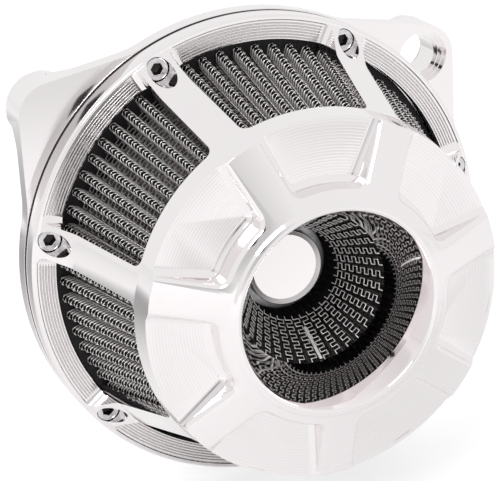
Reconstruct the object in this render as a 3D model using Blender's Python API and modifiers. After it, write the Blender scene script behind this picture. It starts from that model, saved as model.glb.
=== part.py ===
"""Air filter for a motorcycle: a pleated double cone between a back plate and a milled cover.

Every piece is modelled about the filter's axis in a working frame with +X to the right, +Y up and +Z
ahead, out of the mouth. One empty turns that frame so that the mouth faces -Y and the ears are up (+Z).
The origin is the centre of the rear face of the throttle gasket, where the filter bolts to the intake.
"""

import math

import bmesh
import bpy
from mathutils import Matrix, Vector

mm = 0.001
CLEARANCE = 0.3 * mm  # between pieces that rest on each other

# Overall
FLANGE_RADIUS = 89.0 * mm  # the cover's flange, which sets the circle that every other piece keeps to
WINDOW_LENGTH = 50.0 * mm  # along the axis

# Turned pieces
SECTORS = 7  # spokes, pockets and cover screws
SIDES = SECTORS * 10  # sides of the large turned pieces
SMALL_SIDES = 16  # sides of screws and their holes
BORE_SIDES = 32

# Throttle side
THROTTLE_BORE_RADIUS = 25.4 * mm
THROTTLE_GASKET_THICKNESS = 0.8 * mm
THROTTLE_GASKET_MARGIN = 1.2 * mm  # the gasket stands back from the boss's edges
THROTTLE_BOSS_RADIUS = 45.0 * mm
THROTTLE_BOSS_HEIGHT = 2.0 * mm
THROTTLE_SCREWS = 3
THROTTLE_SCREW_CIRCLE = 36.5 * mm
THROTTLE_SHANK_RADIUS = 3.1 * mm
THROTTLE_HEAD_RADIUS = 5.0 * mm
THROTTLE_HEAD_HEIGHT = 6.0 * mm
THROTTLE_SHANK_REACH = 10.0 * mm  # how far the shank stands out behind the gasket
THROTTLE_HEX = 5.0 * mm  # across flats

# Back plate
PLATE_MARGIN = 0.4 * mm  # the plate stands this much beyond the flange
PLATE_RADIUS = FLANGE_RADIUS + PLATE_MARGIN
PLATE_THICKNESS = 7.2 * mm
EAR_RADIUS = 12.6 * mm  # the ears' round ends
EAR_SIDE_INSET = 3.6 * mm  # from the plate's widest point in to the ears' upright sides
EAR_SIDE = PLATE_RADIUS - EAR_SIDE_INSET
EAR_DROP = 28.4 * mm  # from the plate's highest point down to the ears' centres
EAR_CENTRE = (EAR_SIDE - EAR_RADIUS, PLATE_RADIUS - EAR_DROP)
EAR_SLOPE = math.radians(10.0)  # the ears' top edges fall outwards
EAR_DEPTH = 17.6 * mm  # from the plate's front face to the back of the ear
EAR_BOSS_RADIUS = EAR_RADIUS + CLEARANCE
EAR_FILLET = 7.0 * mm
BREATHER_BORE_RADIUS = 7.5 * mm
BREATHER_STEP_WIDTH = 0.8 * mm
BREATHER_STEP_DEPTH = 2.0 * mm
BREATHER_STEPS = 3
ORING_TUBE_RADIUS = 1.3 * mm
ORING_MARGIN = 0.9 * mm  # between the bore's edge and the ring

# Cover: flange, spokes and front ring
COVER_GASKET_THICKNESS = 0.6 * mm
COVER_GASKET_MARGIN = 0.4 * mm
FLANGE_WIDTH = 9.1 * mm
FLANGE_INNER_RADIUS = FLANGE_RADIUS - FLANGE_WIDTH
SEAL_BORE_RADIUS = FLANGE_INNER_RADIUS + CLEARANCE  # room for the filter's rear seal, behind the windows
FLANGE_THICKNESS = 8.0 * mm
FLANGE_CHAMFER = 0.8 * mm
BAND_DEPTH = 0.3 * mm  # the turned band of the flange, between the spokes
FLANGE_LAND = 1.8 * mm  # plain edge of the flange, outside the spokes' feet
SPOKE_FOOT_RADIUS = FLANGE_RADIUS - FLANGE_LAND
SPOKE_PAD_DROP = 8.7 * mm  # the spokes' outer line: foot, pad, knee, then the front ring
SPOKE_PAD_LENGTH = 12.5 * mm
SPOKE_KNEE_DROP = 12.2 * mm
SPOKE_KNEE_LENGTH = 24.0 * mm
SPOKE_RING_DROP = 20.0 * mm
SPOKE_WIDTH = 12.5 * mm
SPOKE_FILLET = 3.5 * mm
RING_RADIUS = SPOKE_FOOT_RADIUS - SPOKE_RING_DROP
RING_WALL = 2.1 * mm

# Cover: front disc
DISC_TAPER = 1.1 * mm  # the front ring narrows towards the rim
DISC_RADIUS = RING_RADIUS - DISC_TAPER
DISC_RIM_HEIGHT = 11.3 * mm  # ahead of the windows
DISC_CHAMFER = 0.5 * mm
DISC_SLOPE = 0.341  # rise of the front face towards the mouth
DISC_FLOOR_HEIGHT = 9.3 * mm  # pocket floors, ahead of the windows
DISC_UNDERSIDE_HEIGHT = 2.8 * mm  # inside face, ahead of the windows
LIP_WIDTH = 3.6 * mm
LIP_HEIGHT = 0.7 * mm  # the mouth's edge above the conical face
LIP_CROWN = 0.6 * mm  # the lip's crown above the mouth's edge
FUNNEL_RADIUS = 28.4 * mm  # small end of the mouth
FUNNEL_FLARE = 7.6 * mm
MOUTH_RADIUS = FUNNEL_RADIUS + FUNNEL_FLARE
FUNNEL_WALL = 1.9 * mm
RIB_WIDTH = 11.3 * mm
HUB_LAND = 2.4 * mm  # between the lip and the pockets
POCKET_INNER_RADIUS = MOUTH_RADIUS + LIP_WIDTH + HUB_LAND
POCKET_CORNER = 5.2 * mm
POCKET_CHAMFER = 1.35 * mm
POCKET_FOOT_WIDTH = 2.0 * mm
POCKET_FOOT_HEIGHT = 1.3 * mm
POCKET_CORNER_POINTS = 4
POCKET_ARC_POINTS = 6

# Cover screws
SCREW_INSET = 5.7 * mm  # from the flange's edge to the screws' centres
SCREW_CIRCLE = FLANGE_RADIUS - SCREW_INSET
SCREW_HEAD_RADIUS = 4.0 * mm
SCREW_HEAD_HEIGHT = 4.8 * mm
SCREW_HEAD_RISE = 0.3 * mm  # head above the flange's face
SCREW_SHANK_RADIUS = 2.4 * mm
SCREW_HEX = 4.0 * mm
SCREW_PLAY = 0.4 * mm
SCREW_END_MARGIN = 0.6 * mm  # shank stops short of the plate's rear face

# Filter
SEAL_PLAY = 0.5 * mm  # between the filter's rubber and the cover
SPOKE_PLAY = 0.8 * mm  # between the pleats' tips and the spokes
REAR_SEAL_WIDTH = 14.0 * mm
REAR_SEAL_THICKNESS = 3.6 * mm
FRONT_SEAL_RADIUS = RING_RADIUS - RING_WALL - SEAL_PLAY
FRONT_SEAL_THICKNESS = 5.0 * mm
OUTER_PLEAT_COUNT = 70
TIP_INSET_REAR = 2.4 * mm  # the pleats' tips stand back from the flange's inner edge
TIP_INSET_FRONT = 0.6 * mm  # and from the front seal's edge
OUTER_TIP_REAR = FLANGE_INNER_RADIUS - TIP_INSET_REAR
OUTER_TIP_FRONT = FRONT_SEAL_RADIUS - TIP_INSET_FRONT
OUTER_PLEAT_DEPTH = 11.0 * mm
INNER_PLEAT_COUNT = 36
INNER_CREST_FRONT = FUNNEL_RADIUS + CLEARANCE / 3
INNER_CONE_TAPER = 11.2 * mm
INNER_CREST_REAR = INNER_CREST_FRONT - INNER_CONE_TAPER
INNER_PLEAT_DEPTH = 8.0 * mm
INNER_CONE_LENGTH = 18.2 * mm
MEDIA_THICKNESS = 1.1 * mm
CREST_SHARE = 0.46  # of a pleat's pitch, at the crest
VALLEY_SHARE = 0.56
INNER_RING_HEIGHT = 9.6 * mm
INNER_RING_WIDTH = 9.0 * mm
END_PLATE_THICKNESS = 3.6 * mm
CAP_PLAY = 2.5 * mm  # between the cap's edge and the rubber ring
CAP_THICKNESS = 3.9 * mm
CAP_BEVEL = 1.5 * mm
CAP_SCREW_SHANK_RADIUS = 2.4 * mm
CAP_SCREW_HEAD_RADIUS = 4.2 * mm
CAP_SCREW_HEAD_HEIGHT = 3.0 * mm
CAP_SCREW_ENGAGEMENT = 2.2 * mm

# Places along the axis, ahead of the mounting face
BOSS_REAR = THROTTLE_GASKET_THICKNESS + CLEARANCE
PLATE_REAR = BOSS_REAR + THROTTLE_BOSS_HEIGHT
PLATE_FRONT = PLATE_REAR + PLATE_THICKNESS
GASKET_REAR = PLATE_FRONT + CLEARANCE
FLANGE_REAR = GASKET_REAR + COVER_GASKET_THICKNESS + CLEARANCE
FLANGE_FRONT = FLANGE_REAR + FLANGE_THICKNESS
RING_REAR = FLANGE_FRONT + WINDOW_LENGTH
DISC_UNDERSIDE = RING_REAR + DISC_UNDERSIDE_HEIGHT
DISC_FLOOR = RING_REAR + DISC_FLOOR_HEIGHT
DISC_RIM = RING_REAR + DISC_RIM_HEIGHT
FRONT_SEAL_FRONT = DISC_UNDERSIDE - CLEARANCE
FRONT_SEAL_REAR = FRONT_SEAL_FRONT - FRONT_SEAL_THICKNESS
PLEAT_FRONT = FRONT_SEAL_REAR - CLEARANCE
REAR_SEAL_REAR = PLATE_FRONT + CLEARANCE
REAR_SEAL_FRONT = REAR_SEAL_REAR + REAR_SEAL_THICKNESS
SPOKE_TOE = REAR_SEAL_FRONT + SEAL_PLAY
PLEAT_REAR = REAR_SEAL_FRONT + CLEARANCE
INNER_CONE_REAR = PLEAT_FRONT - INNER_CONE_LENGTH
INNER_RING_FRONT = INNER_CONE_REAR - CLEARANCE
INNER_RING_REAR = INNER_RING_FRONT - INNER_RING_HEIGHT
END_PLATE_FRONT = INNER_RING_REAR - CLEARANCE
END_PLATE_REAR = END_PLATE_FRONT - END_PLATE_THICKNESS
CAP_REAR = END_PLATE_FRONT + CLEARANCE
INNER_RING_BORE = INNER_CREST_REAR - CLEARANCE * 2
CAP_RADIUS = INNER_RING_BORE - CAP_PLAY

SECTOR_ANGLE = 2 * math.pi / SECTORS
SPOKE_ANGLES = [math.pi / 2 + (k + 0.5) * SECTOR_ANGLE for k in range(SECTORS)]
POCKET_ANGLES = [math.pi / 2 + k * SECTOR_ANGLE for k in range(SECTORS)]
BREATHER_CENTRE = Vector((EAR_CENTRE[0], EAR_CENTRE[1], 0.0))


# ---------------------------------------------------------------- scene, collections, materials

def clear_scene():
    for obj in list(bpy.data.objects):
        bpy.data.objects.remove(obj, do_unlink=True)


def new_collection(name):
    collection = bpy.data.collections.new(name)
    bpy.context.scene.collection.children.link(collection)
    return collection


def new_material(name, colour, metallic, roughness):
    material = bpy.data.materials.new(name)
    material.use_nodes = True
    shader = material.node_tree.nodes["Principled BSDF"]
    shader.inputs["Base Color"].default_value = (*colour, 1.0)
    shader.inputs["Metallic"].default_value = metallic
    shader.inputs["Roughness"].default_value = roughness
    return material


clear_scene()
PARTS = new_collection("air_filter")
CUTTERS = new_collection("cutters")
AXIS = bpy.data.objects.new("filter_axis", None)
AXIS.rotation_euler = (math.pi / 2, 0.0, 0.0)
PARTS.objects.link(AXIS)


def add_object(name, data, material=None):
    """Puts a mesh in the working frame, as a part where it has a material, otherwise as a cutter."""
    obj = bpy.data.objects.new(name, data)
    obj.parent = AXIS
    if material is None:
        CUTTERS.objects.link(obj)
        obj.hide_render = True
        obj.display_type = "WIRE"
    else:
        PARTS.objects.link(obj)
        if not data.materials:
            data.materials.append(material)
    return obj


# ---------------------------------------------------------------- shapes

def is_clockwise(points):
    turns = zip(points, points[1:] + points[:1])
    return sum(a[0] * b[1] - b[0] * a[1] for a, b in turns) < 0


def turned(name, profile, sides, material=None):
    """A ring or disc turned from (radius, height) points. A disc's profile starts and ends at radius 0."""
    closed = profile[0][0] > 0
    points = profile if is_clockwise(profile) else profile[::-1]
    if not closed:
        while points[0][0] > 0 or points[-1][0] > 0:
            points = points[1:] + points[:1]
    mesh = bpy.data.meshes.new(name)
    edges = [(i, i + 1) for i in range(len(points) - 1)]
    if closed:
        edges.append((len(points) - 1, 0))
    mesh.from_pydata([(radius, 0.0, height) for radius, height in points], edges, [])
    obj = add_object(name, mesh, material)
    screw = obj.modifiers.new("turn", "SCREW")
    screw.axis = "Z"
    screw.steps = screw.render_steps = sides
    screw.use_merge_vertices = True
    screw.merge_threshold = 0.00001
    return obj


def ring(name, inner, outer, rear, front, sides, material=None):
    return turned(name, [(inner, rear), (outer, rear), (outer, front), (inner, front)], sides, material)


def arc(centre, radius, start, end, count):
    """Points on an arc, from the start angle to the end angle, both included."""
    angles = [start + (end - start) * i / (count - 1) for i in range(count)]
    return [(centre[0] + radius * math.cos(a), centre[1] + radius * math.sin(a)) for a in angles]


def mesh_of(obj):
    """A plain mesh of an object's evaluated shape, with its caps welded."""
    bpy.context.view_layer.update()
    evaluated = obj.evaluated_get(bpy.context.evaluated_depsgraph_get())
    mesh = bpy.data.meshes.new_from_object(evaluated)
    work = bmesh.new()
    work.from_mesh(mesh)
    bmesh.ops.remove_doubles(work, verts=work.verts, dist=0.000001)
    bmesh.ops.recalc_face_normals(work, faces=work.faces)
    work.to_mesh(mesh)
    work.free()
    return mesh


def slab(name, outline, rear, front, material=None):
    """A flat piece: a closed outline, extruded from its rear height to its front height."""
    curve = bpy.data.curves.new(name + "_outline", "CURVE")
    curve.dimensions = "2D"
    curve.fill_mode = "BOTH"
    curve.extrude = (front - rear) / 2
    spline = curve.splines.new("POLY")
    spline.points.add(len(outline) - 1)
    for point, (x, y) in zip(spline.points, outline):
        point.co = (x, y, 0.0, 1.0)
    spline.use_cyclic_u = True
    guide = bpy.data.objects.new(name + "_outline", curve)
    CUTTERS.objects.link(guide)
    mesh = mesh_of(guide)
    bpy.data.objects.remove(guide, do_unlink=True)
    mesh.transform(Matrix.Translation((0.0, 0.0, (front + rear) / 2)))
    return add_object(name, mesh, material)


def loft(name, levels, hollow_levels=None, material=None):
    """A solid between outlines of 3D points. With hollow_levels it is the wall between the two skins."""
    work = bmesh.new()
    skins = [[[work.verts.new(p) for p in level] for level in skin] for skin in (levels, hollow_levels or [])]
    for skin in skins:
        for lower, upper in zip(skin, skin[1:]):
            for i in range(len(lower)):
                j = (i + 1) % len(lower)
                work.faces.new((lower[i], lower[j], upper[j], upper[i]))
    if hollow_levels:
        for end in (0, -1):
            outer, inner = skins[0][end], skins[1][end]
            for i in range(len(outer)):
                j = (i + 1) % len(outer)
                work.faces.new((outer[i], outer[j], inner[j], inner[i]))
    else:
        work.faces.new(skins[0][0])
        work.faces.new(skins[0][-1])
    bmesh.ops.recalc_face_normals(work, faces=work.faces)
    mesh = bpy.data.meshes.new(name)
    work.to_mesh(mesh)
    work.free()
    return add_object(name, mesh, material)


def repeated(name, obj, angles):
    """One cutter made of turned copies of a shape that is modelled about angle 0."""
    source = mesh_of(obj)
    source.transform(AXIS.matrix_world.inverted() @ obj.matrix_world)
    work = bmesh.new()
    for angle in angles:
        copy = source.copy()
        copy.transform(Matrix.Rotation(angle, 4, "Z"))
        work.from_mesh(copy)
        bpy.data.meshes.remove(copy)
    mesh = bpy.data.meshes.new(name)
    work.to_mesh(mesh)
    work.free()
    bpy.data.objects.remove(obj, do_unlink=True)
    return add_object(name, mesh)


def boolean(obj, other, operation):
    modifier = obj.modifiers.new(f"{operation.lower()}_{other.name}", "BOOLEAN")
    modifier.operation = operation
    modifier.solver = "EXACT"
    modifier.object = other


def cut(obj, other):
    boolean(obj, other, "DIFFERENCE")


def join(obj, other):
    boolean(obj, other, "UNION")


def rod(name, profile, centre_radius, angle, sides):
    """A turned cutter on its own axis, at a radius and an angle from the filter's axis."""
    obj = turned(name, profile, sides)
    obj.location = (centre_radius * math.cos(angle), centre_radius * math.sin(angle), 0.0)
    return obj


def hex_radius(across_flats):
    return across_flats / 2 / math.cos(math.pi / 6)


# ---------------------------------------------------------------- materials

CHROME = new_material("plated_metal", (0.86, 0.86, 0.88), 1.0, 0.07)
ZINC = new_material("screw_steel", (0.62, 0.62, 0.64), 1.0, 0.25)
ALUMINIUM = new_material("plain_aluminium", (0.60, 0.61, 0.62), 1.0, 0.35)
RUBBER = new_material("black_rubber", (0.025, 0.023, 0.024), 0.0, 0.55)
MEDIA = new_material("oiled_media", (0.035, 0.030, 0.032), 0.0, 0.85)
PAPER = new_material("gasket_paper", (0.05, 0.05, 0.05), 0.0, 0.9)


# ---------------------------------------------------------------- back plate and throttle side

def plate_outline():
    """The round plate with two ears: upright sides, round ends, and tops that slope up to the round edge."""
    side_angle = math.acos(EAR_SIDE / PLATE_RADIUS)
    top_normal = math.pi / 2 - EAR_SLOPE
    top_reach = EAR_CENTRE[0] * math.cos(top_normal) + EAR_CENTRE[1] * math.sin(top_normal) + EAR_RADIUS
    top_angle = top_normal - math.acos(top_reach / PLATE_RADIUS)
    right = arc(EAR_CENTRE, EAR_RADIUS, 0.0, top_normal, 9)
    crown = arc((0.0, 0.0), PLATE_RADIUS, top_angle, math.pi - top_angle, 18)
    left = [(-x, y) for x, y in reversed(right)]
    round_part = arc((0.0, 0.0), PLATE_RADIUS, math.pi - side_angle, 2 * math.pi + side_angle, 46)
    return right + crown + left + round_part


def ear_boss(side):
    """The thick round end of an ear, which spreads with a fillet where it meets the plate's rear face."""
    beyond = EAR_DEPTH
    spread = EAR_BOSS_RADIUS + EAR_FILLET
    overshoot = CLEARANCE / 3
    boss = turned("ear_boss", [
        (0.0, -beyond), (EAR_BOSS_RADIUS, -beyond),
        *arc((spread, PLATE_REAR - EAR_FILLET + overshoot), EAR_FILLET, math.pi, math.pi / 2, 6),
        (spread, PLATE_FRONT), (0.0, PLATE_FRONT),
    ], BORE_SIDES)
    boss.location = (side * EAR_CENTRE[0], EAR_CENTRE[1], 0.0)
    return boss


def make_back_plate():
    plate = slab("back_plate", plate_outline(), PLATE_FRONT - EAR_DEPTH, PLATE_FRONT, CHROME)
    beyond = EAR_DEPTH
    reach = PLATE_RADIUS + EAR_RADIUS * 2
    relief = turned("rear_relief", [
        (0.0, -beyond / 2), (reach, -beyond / 2), (reach, PLATE_REAR), (0.0, PLATE_REAR),
    ], SIDES)
    for side in (1, -1):
        cut(relief, ear_boss(side))
    cut(plate, relief)
    join(plate, turned("throttle_boss", [
        (0.0, BOSS_REAR), (THROTTLE_BOSS_RADIUS, BOSS_REAR),
        (THROTTLE_BOSS_RADIUS, PLATE_REAR + PLATE_THICKNESS / 2), (0.0, PLATE_REAR + PLATE_THICKNESS / 2),
    ], SIDES))
    cut(plate, turned("throttle_bore", [
        (0.0, -beyond), (THROTTLE_BORE_RADIUS, -beyond),
        (THROTTLE_BORE_RADIUS, PLATE_FRONT + beyond), (0.0, PLATE_FRONT + beyond),
    ], BORE_SIDES))
    cut(plate, breather_bore(beyond))
    hole = THROTTLE_SHANK_RADIUS + SCREW_PLAY
    cut(plate, repeated("throttle_screw_holes", rod("hole", [
        (0.0, -beyond), (hole, -beyond), (hole, PLATE_FRONT + beyond), (0.0, PLATE_FRONT + beyond),
    ], THROTTLE_SCREW_CIRCLE, 0.0, SMALL_SIDES), throttle_angles()))
    hole = SCREW_SHANK_RADIUS + SCREW_PLAY
    cut(plate, repeated("cover_screw_holes", rod("hole", [
        (0.0, -beyond), (hole, -beyond), (hole, PLATE_FRONT + beyond), (0.0, PLATE_FRONT + beyond),
    ], SCREW_CIRCLE, 0.0, SMALL_SIDES), SPOKE_ANGLES))


def throttle_angles():
    return [math.pi / 2 + k * 2 * math.pi / THROTTLE_SCREWS for k in range(THROTTLE_SCREWS)]


def breather_bore(beyond):
    """The right ear's bore, which widens towards the front in equal steps."""
    profile = [(0.0, -beyond), (BREATHER_BORE_RADIUS, -beyond)]
    radius = BREATHER_BORE_RADIUS
    height = PLATE_FRONT - BREATHER_STEPS * BREATHER_STEP_DEPTH
    for _ in range(BREATHER_STEPS):
        profile += [(radius, height), (radius + BREATHER_STEP_WIDTH, height)]
        radius += BREATHER_STEP_WIDTH
        height += BREATHER_STEP_DEPTH
    profile += [(radius, PLATE_FRONT + beyond), (0.0, PLATE_FRONT + beyond)]
    bore = turned("breather_bore", profile, BORE_SIDES)
    bore.location = BREATHER_CENTRE
    return bore


def make_breather_oring():
    mesh = bpy.data.meshes.new("breather_oring")
    oring = add_object("breather_oring", mesh, RUBBER)
    middle = BREATHER_BORE_RADIUS + ORING_MARGIN + ORING_TUBE_RADIUS
    height = PLATE_FRONT - EAR_DEPTH - CLEARANCE - ORING_TUBE_RADIUS
    section = arc((middle, height), ORING_TUBE_RADIUS, 0.0, -2 * math.pi, 9)[:-1]
    mesh.from_pydata([(x, 0.0, z) for x, z in section], [(i, (i + 1) % 8) for i in range(8)], [])
    screw = oring.modifiers.new("turn", "SCREW")
    screw.axis = "Z"
    screw.steps = screw.render_steps = 24
    screw.use_merge_vertices = True
    screw.merge_threshold = 0.00001
    oring.location = BREATHER_CENTRE


def make_throttle_gasket():
    gasket = ring(
        "throttle_gasket",
        THROTTLE_BORE_RADIUS + THROTTLE_GASKET_MARGIN, THROTTLE_BOSS_RADIUS - THROTTLE_GASKET_MARGIN,
        0.0, THROTTLE_GASKET_THICKNESS, BORE_SIDES, PAPER,
    )
    hole = THROTTLE_SHANK_RADIUS + SCREW_PLAY
    beyond = THROTTLE_GASKET_THICKNESS * 2
    cut(gasket, repeated("throttle_gasket_holes", rod("hole", [
        (0.0, -beyond), (hole, -beyond), (hole, beyond * 2), (0.0, beyond * 2),
    ], THROTTLE_SCREW_CIRCLE, 0.0, SMALL_SIDES), throttle_angles()))


def screw_mesh(name, shank_radius, head_radius, end, seat, top, across_flats):
    """A socket-head cap screw on its own axis, from the end of its shank to the top of its head."""
    chamfer = head_radius * 0.1
    body = turned(name, [
        (0.0, end), (shank_radius, end), (shank_radius, seat), (head_radius, seat),
        (head_radius, top - chamfer), (head_radius - chamfer, top), (0.0, top),
    ], SMALL_SIDES)
    depth = (top - seat) * 0.5
    wrench = turned(name + "_hex", [
        (0.0, top - depth), (hex_radius(across_flats), top - depth),
        (hex_radius(across_flats), top + depth), (0.0, top + depth),
    ], 6)
    cut(body, wrench)
    mesh = mesh_of(body)
    for obj in (body, wrench):
        bpy.data.objects.remove(obj, do_unlink=True)
    return mesh


def make_throttle_screws():
    seat = PLATE_FRONT + CLEARANCE
    mesh = screw_mesh(
        "throttle_screw", THROTTLE_SHANK_RADIUS, THROTTLE_HEAD_RADIUS,
        -THROTTLE_SHANK_REACH, seat, seat + THROTTLE_HEAD_HEIGHT, THROTTLE_HEX,
    )
    for number, angle in enumerate(throttle_angles(), 1):
        screw = add_object(f"throttle_screw_{number}", mesh.copy(), ZINC)
        screw.location = Vector((math.cos(angle), math.sin(angle), 0.0)) * THROTTLE_SCREW_CIRCLE


# ---------------------------------------------------------------- cover

def disc_face(radius):
    """Height of the front disc's conical face."""
    return DISC_RIM + (DISC_RADIUS - radius) * DISC_SLOPE


def spoke_inside(height):
    """Radius of the spokes' inner faces, which follow the filter's pleats."""
    slope = (OUTER_TIP_REAR - OUTER_TIP_FRONT) / (PLEAT_FRONT - PLEAT_REAR)
    return OUTER_TIP_FRONT + (PLEAT_FRONT - height) * slope + SPOKE_PLAY


def cover_profile():
    ring_inner = FRONT_SEAL_RADIUS + SEAL_PLAY
    lip = MOUTH_RADIUS + LIP_WIDTH
    mouth_edge = disc_face(lip) + LIP_HEIGHT
    funnel_rear = PLEAT_FRONT + CLEARANCE
    return [
        (SEAL_BORE_RADIUS, FLANGE_REAR),
        (FLANGE_RADIUS, FLANGE_REAR),
        (FLANGE_RADIUS, FLANGE_FRONT - FLANGE_CHAMFER),
        (FLANGE_RADIUS - FLANGE_CHAMFER, FLANGE_FRONT),
        (SPOKE_FOOT_RADIUS, FLANGE_FRONT),
        (SPOKE_FOOT_RADIUS - SPOKE_PAD_DROP, FLANGE_FRONT + SPOKE_PAD_LENGTH),
        (SPOKE_FOOT_RADIUS - SPOKE_KNEE_DROP, FLANGE_FRONT + SPOKE_KNEE_LENGTH),
        (RING_RADIUS, RING_REAR),
        (DISC_RADIUS, DISC_RIM - DISC_CHAMFER),
        (DISC_RADIUS - DISC_CHAMFER, disc_face(DISC_RADIUS - DISC_CHAMFER)),
        (lip, disc_face(lip)),
        (lip - LIP_WIDTH * 0.25, mouth_edge + LIP_CROWN * 0.4),
        (lip - LIP_WIDTH * 0.55, mouth_edge + LIP_CROWN),
        (lip - LIP_WIDTH * 0.85, mouth_edge + LIP_CROWN * 0.8),
        (MOUTH_RADIUS, mouth_edge),
        (FUNNEL_RADIUS, funnel_rear),
        (FUNNEL_RADIUS + FUNNEL_WALL, funnel_rear),
        (FUNNEL_RADIUS + FUNNEL_WALL, DISC_UNDERSIDE),
        (ring_inner, DISC_UNDERSIDE),
        (ring_inner, FRONT_SEAL_REAR),
        (spoke_inside(FRONT_SEAL_REAR - FRONT_SEAL_THICKNESS), FRONT_SEAL_REAR - FRONT_SEAL_THICKNESS),
        (spoke_inside(SPOKE_TOE), SPOKE_TOE),
        (SEAL_BORE_RADIUS, SPOKE_TOE),
    ]


def spoke_bar():
    """A bar through one spoke, across the filter, that flares with fillets at flange and ring."""
    half = SPOKE_WIDTH / 2
    low = FLANGE_FRONT - BAND_DEPTH
    beyond = SPOKE_FILLET / 2
    flare = half + SPOKE_FILLET
    right = [(flare, SPOKE_TOE - beyond)]
    right += arc((flare, low + SPOKE_FILLET), SPOKE_FILLET, 1.5 * math.pi, math.pi, 5)
    right += arc((flare, RING_REAR - SPOKE_FILLET), SPOKE_FILLET, math.pi, math.pi / 2, 5)
    right += [(flare, RING_REAR + beyond)]
    outline = right + [(-x, y) for x, y in reversed(right)]
    reach = SPOKE_FOOT_RADIUS + SPOKE_FILLET
    return stand_up(slab("spoke_bar", outline, reach * 0.5, reach))


def stand_up(bar):
    """Turns the outline's plane square to the spoke at angle 0: (across, ahead) to (Y, Z), depth to X."""
    bar.data.transform(Matrix(((0, 0, 1, 0), (1, 0, 0, 0), (0, 1, 0, 0), (0, 0, 0, 1))))
    return bar


def windows():
    """All seven windows: a ring around the filter, less a bar for each spoke."""
    inner = OUTER_TIP_FRONT - OUTER_PLEAT_DEPTH
    outer = SPOKE_FOOT_RADIUS + CLEARANCE / 3
    low = SPOKE_TOE - CLEARANCE
    band = FLANGE_FRONT - BAND_DEPTH
    cutter = turned("windows", [
        (inner, low), (FLANGE_INNER_RADIUS, low), (FLANGE_INNER_RADIUS, band), (outer, band),
        (outer, RING_REAR), (inner, RING_REAR),
    ], SIDES)
    cut(cutter, repeated("spoke_bars", spoke_bar(), SPOKE_ANGLES))
    return cutter


def sills():
    """Inside the flange the spokes have no fillets: they run straight down to their toes."""
    low = SPOKE_TOE - CLEARANCE
    top = FLANGE_FRONT + SPOKE_FILLET * 1.2
    inner = OUTER_TIP_FRONT
    outer = FLANGE_INNER_RADIUS + CLEARANCE / 3
    cutter = turned("sills", [(inner, low), (outer, low), (outer, top), (inner, top)], SIDES)
    half = SPOKE_WIDTH / 2 + CLEARANCE / 3
    beyond = SPOKE_FILLET / 2
    outline = [(-half, low - beyond), (half, low - beyond), (half, top + beyond), (-half, top + beyond)]
    reach = SPOKE_FOOT_RADIUS + SPOKE_FILLET
    toe = stand_up(slab("spoke_toe", outline, reach * 0.5, reach))
    cut(cutter, repeated("spoke_toes", toe, SPOKE_ANGLES))
    return cutter


def pocket_outline(inset, corner):
    """One pocket about angle 0: sides along the two ribs, an inner arc, and open past the rim."""
    half_angle = SECTOR_ANGLE / 2
    offset = RIB_WIDTH / 2 + inset
    inner = POCKET_INNER_RADIUS + inset
    along = Vector((math.cos(half_angle), math.sin(half_angle)))
    into = Vector((math.sin(half_angle), -math.cos(half_angle)))
    reach = DISC_RADIUS + POCKET_CORNER
    depth = math.sqrt((inner + corner) ** 2 - (offset + corner) ** 2)
    centre = along * depth + into * (offset + corner)
    start = math.atan2(-into.y, -into.x)
    end = math.atan2(-centre.y, -centre.x)
    end += 2 * math.pi if end < start else 0.0
    upper = [tuple(along * math.sqrt(reach ** 2 - offset ** 2) + into * offset)]
    upper += arc(centre, corner, start, end, POCKET_CORNER_POINTS)
    middle = arc((0.0, 0.0), inner, math.atan2(centre.y, centre.x), 0.0, POCKET_ARC_POINTS)[1:]
    upper += middle
    lower = [(x, -y) for x, y in reversed(upper[:-1])]
    return upper + lower


def pocket_cutter():
    """A pocket with a flat floor, a sloping foot, upright walls and a chamfer along the disc's face."""
    foot_top = DISC_FLOOR + POCKET_FOOT_HEIGHT

    def level(inset, height):
        outline = pocket_outline(inset, POCKET_CORNER - inset)
        return [(x, y, height(min(math.hypot(x, y), DISC_RADIUS))) for x, y in outline]

    wall_inset = POCKET_CHAMFER
    return loft("pocket", [
        level(wall_inset + POCKET_FOOT_WIDTH, lambda r: DISC_FLOOR),
        level(wall_inset, lambda r: foot_top),
        level(wall_inset * 0.9, lambda r: max(disc_face(r) - POCKET_CHAMFER * 0.8, foot_top + CLEARANCE / 3)),
        level(-CLEARANCE, lambda r: disc_face(r) + CLEARANCE),
        level(-CLEARANCE, lambda r: disc_face(0.0)),
    ])


def counterbore():
    """Room for a cover screw: its head from the front, its shank through the flange."""
    head = SCREW_HEAD_RADIUS + SCREW_PLAY
    shank = SCREW_SHANK_RADIUS + SCREW_PLAY
    seat = FLANGE_FRONT + SCREW_HEAD_RISE - SCREW_HEAD_HEIGHT - CLEARANCE
    rear = FLANGE_REAR - FLANGE_THICKNESS / 2
    return rod("counterbore", [
        (0.0, rear), (shank, rear), (shank, seat), (head, seat), (head, RING_REAR), (0.0, RING_REAR),
    ], SCREW_CIRCLE, 0.0, SMALL_SIDES)


def make_cover():
    cover = turned("cover", cover_profile(), SIDES, CHROME)
    cut(cover, windows())
    cut(cover, sills())
    cut(cover, repeated("pockets", pocket_cutter(), POCKET_ANGLES))
    cut(cover, repeated("counterbores", counterbore(), SPOKE_ANGLES))


def make_cover_gasket():
    gasket = ring(
        "cover_gasket", SEAL_BORE_RADIUS + COVER_GASKET_MARGIN, FLANGE_RADIUS - COVER_GASKET_MARGIN,
        GASKET_REAR, GASKET_REAR + COVER_GASKET_THICKNESS, SIDES, RUBBER,
    )
    hole = SCREW_SHANK_RADIUS + SCREW_PLAY
    cut(gasket, repeated("cover_gasket_holes", rod("hole", [
        (0.0, PLATE_REAR), (hole, PLATE_REAR), (hole, FLANGE_FRONT), (0.0, FLANGE_FRONT),
    ], SCREW_CIRCLE, 0.0, SMALL_SIDES), SPOKE_ANGLES))


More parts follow.
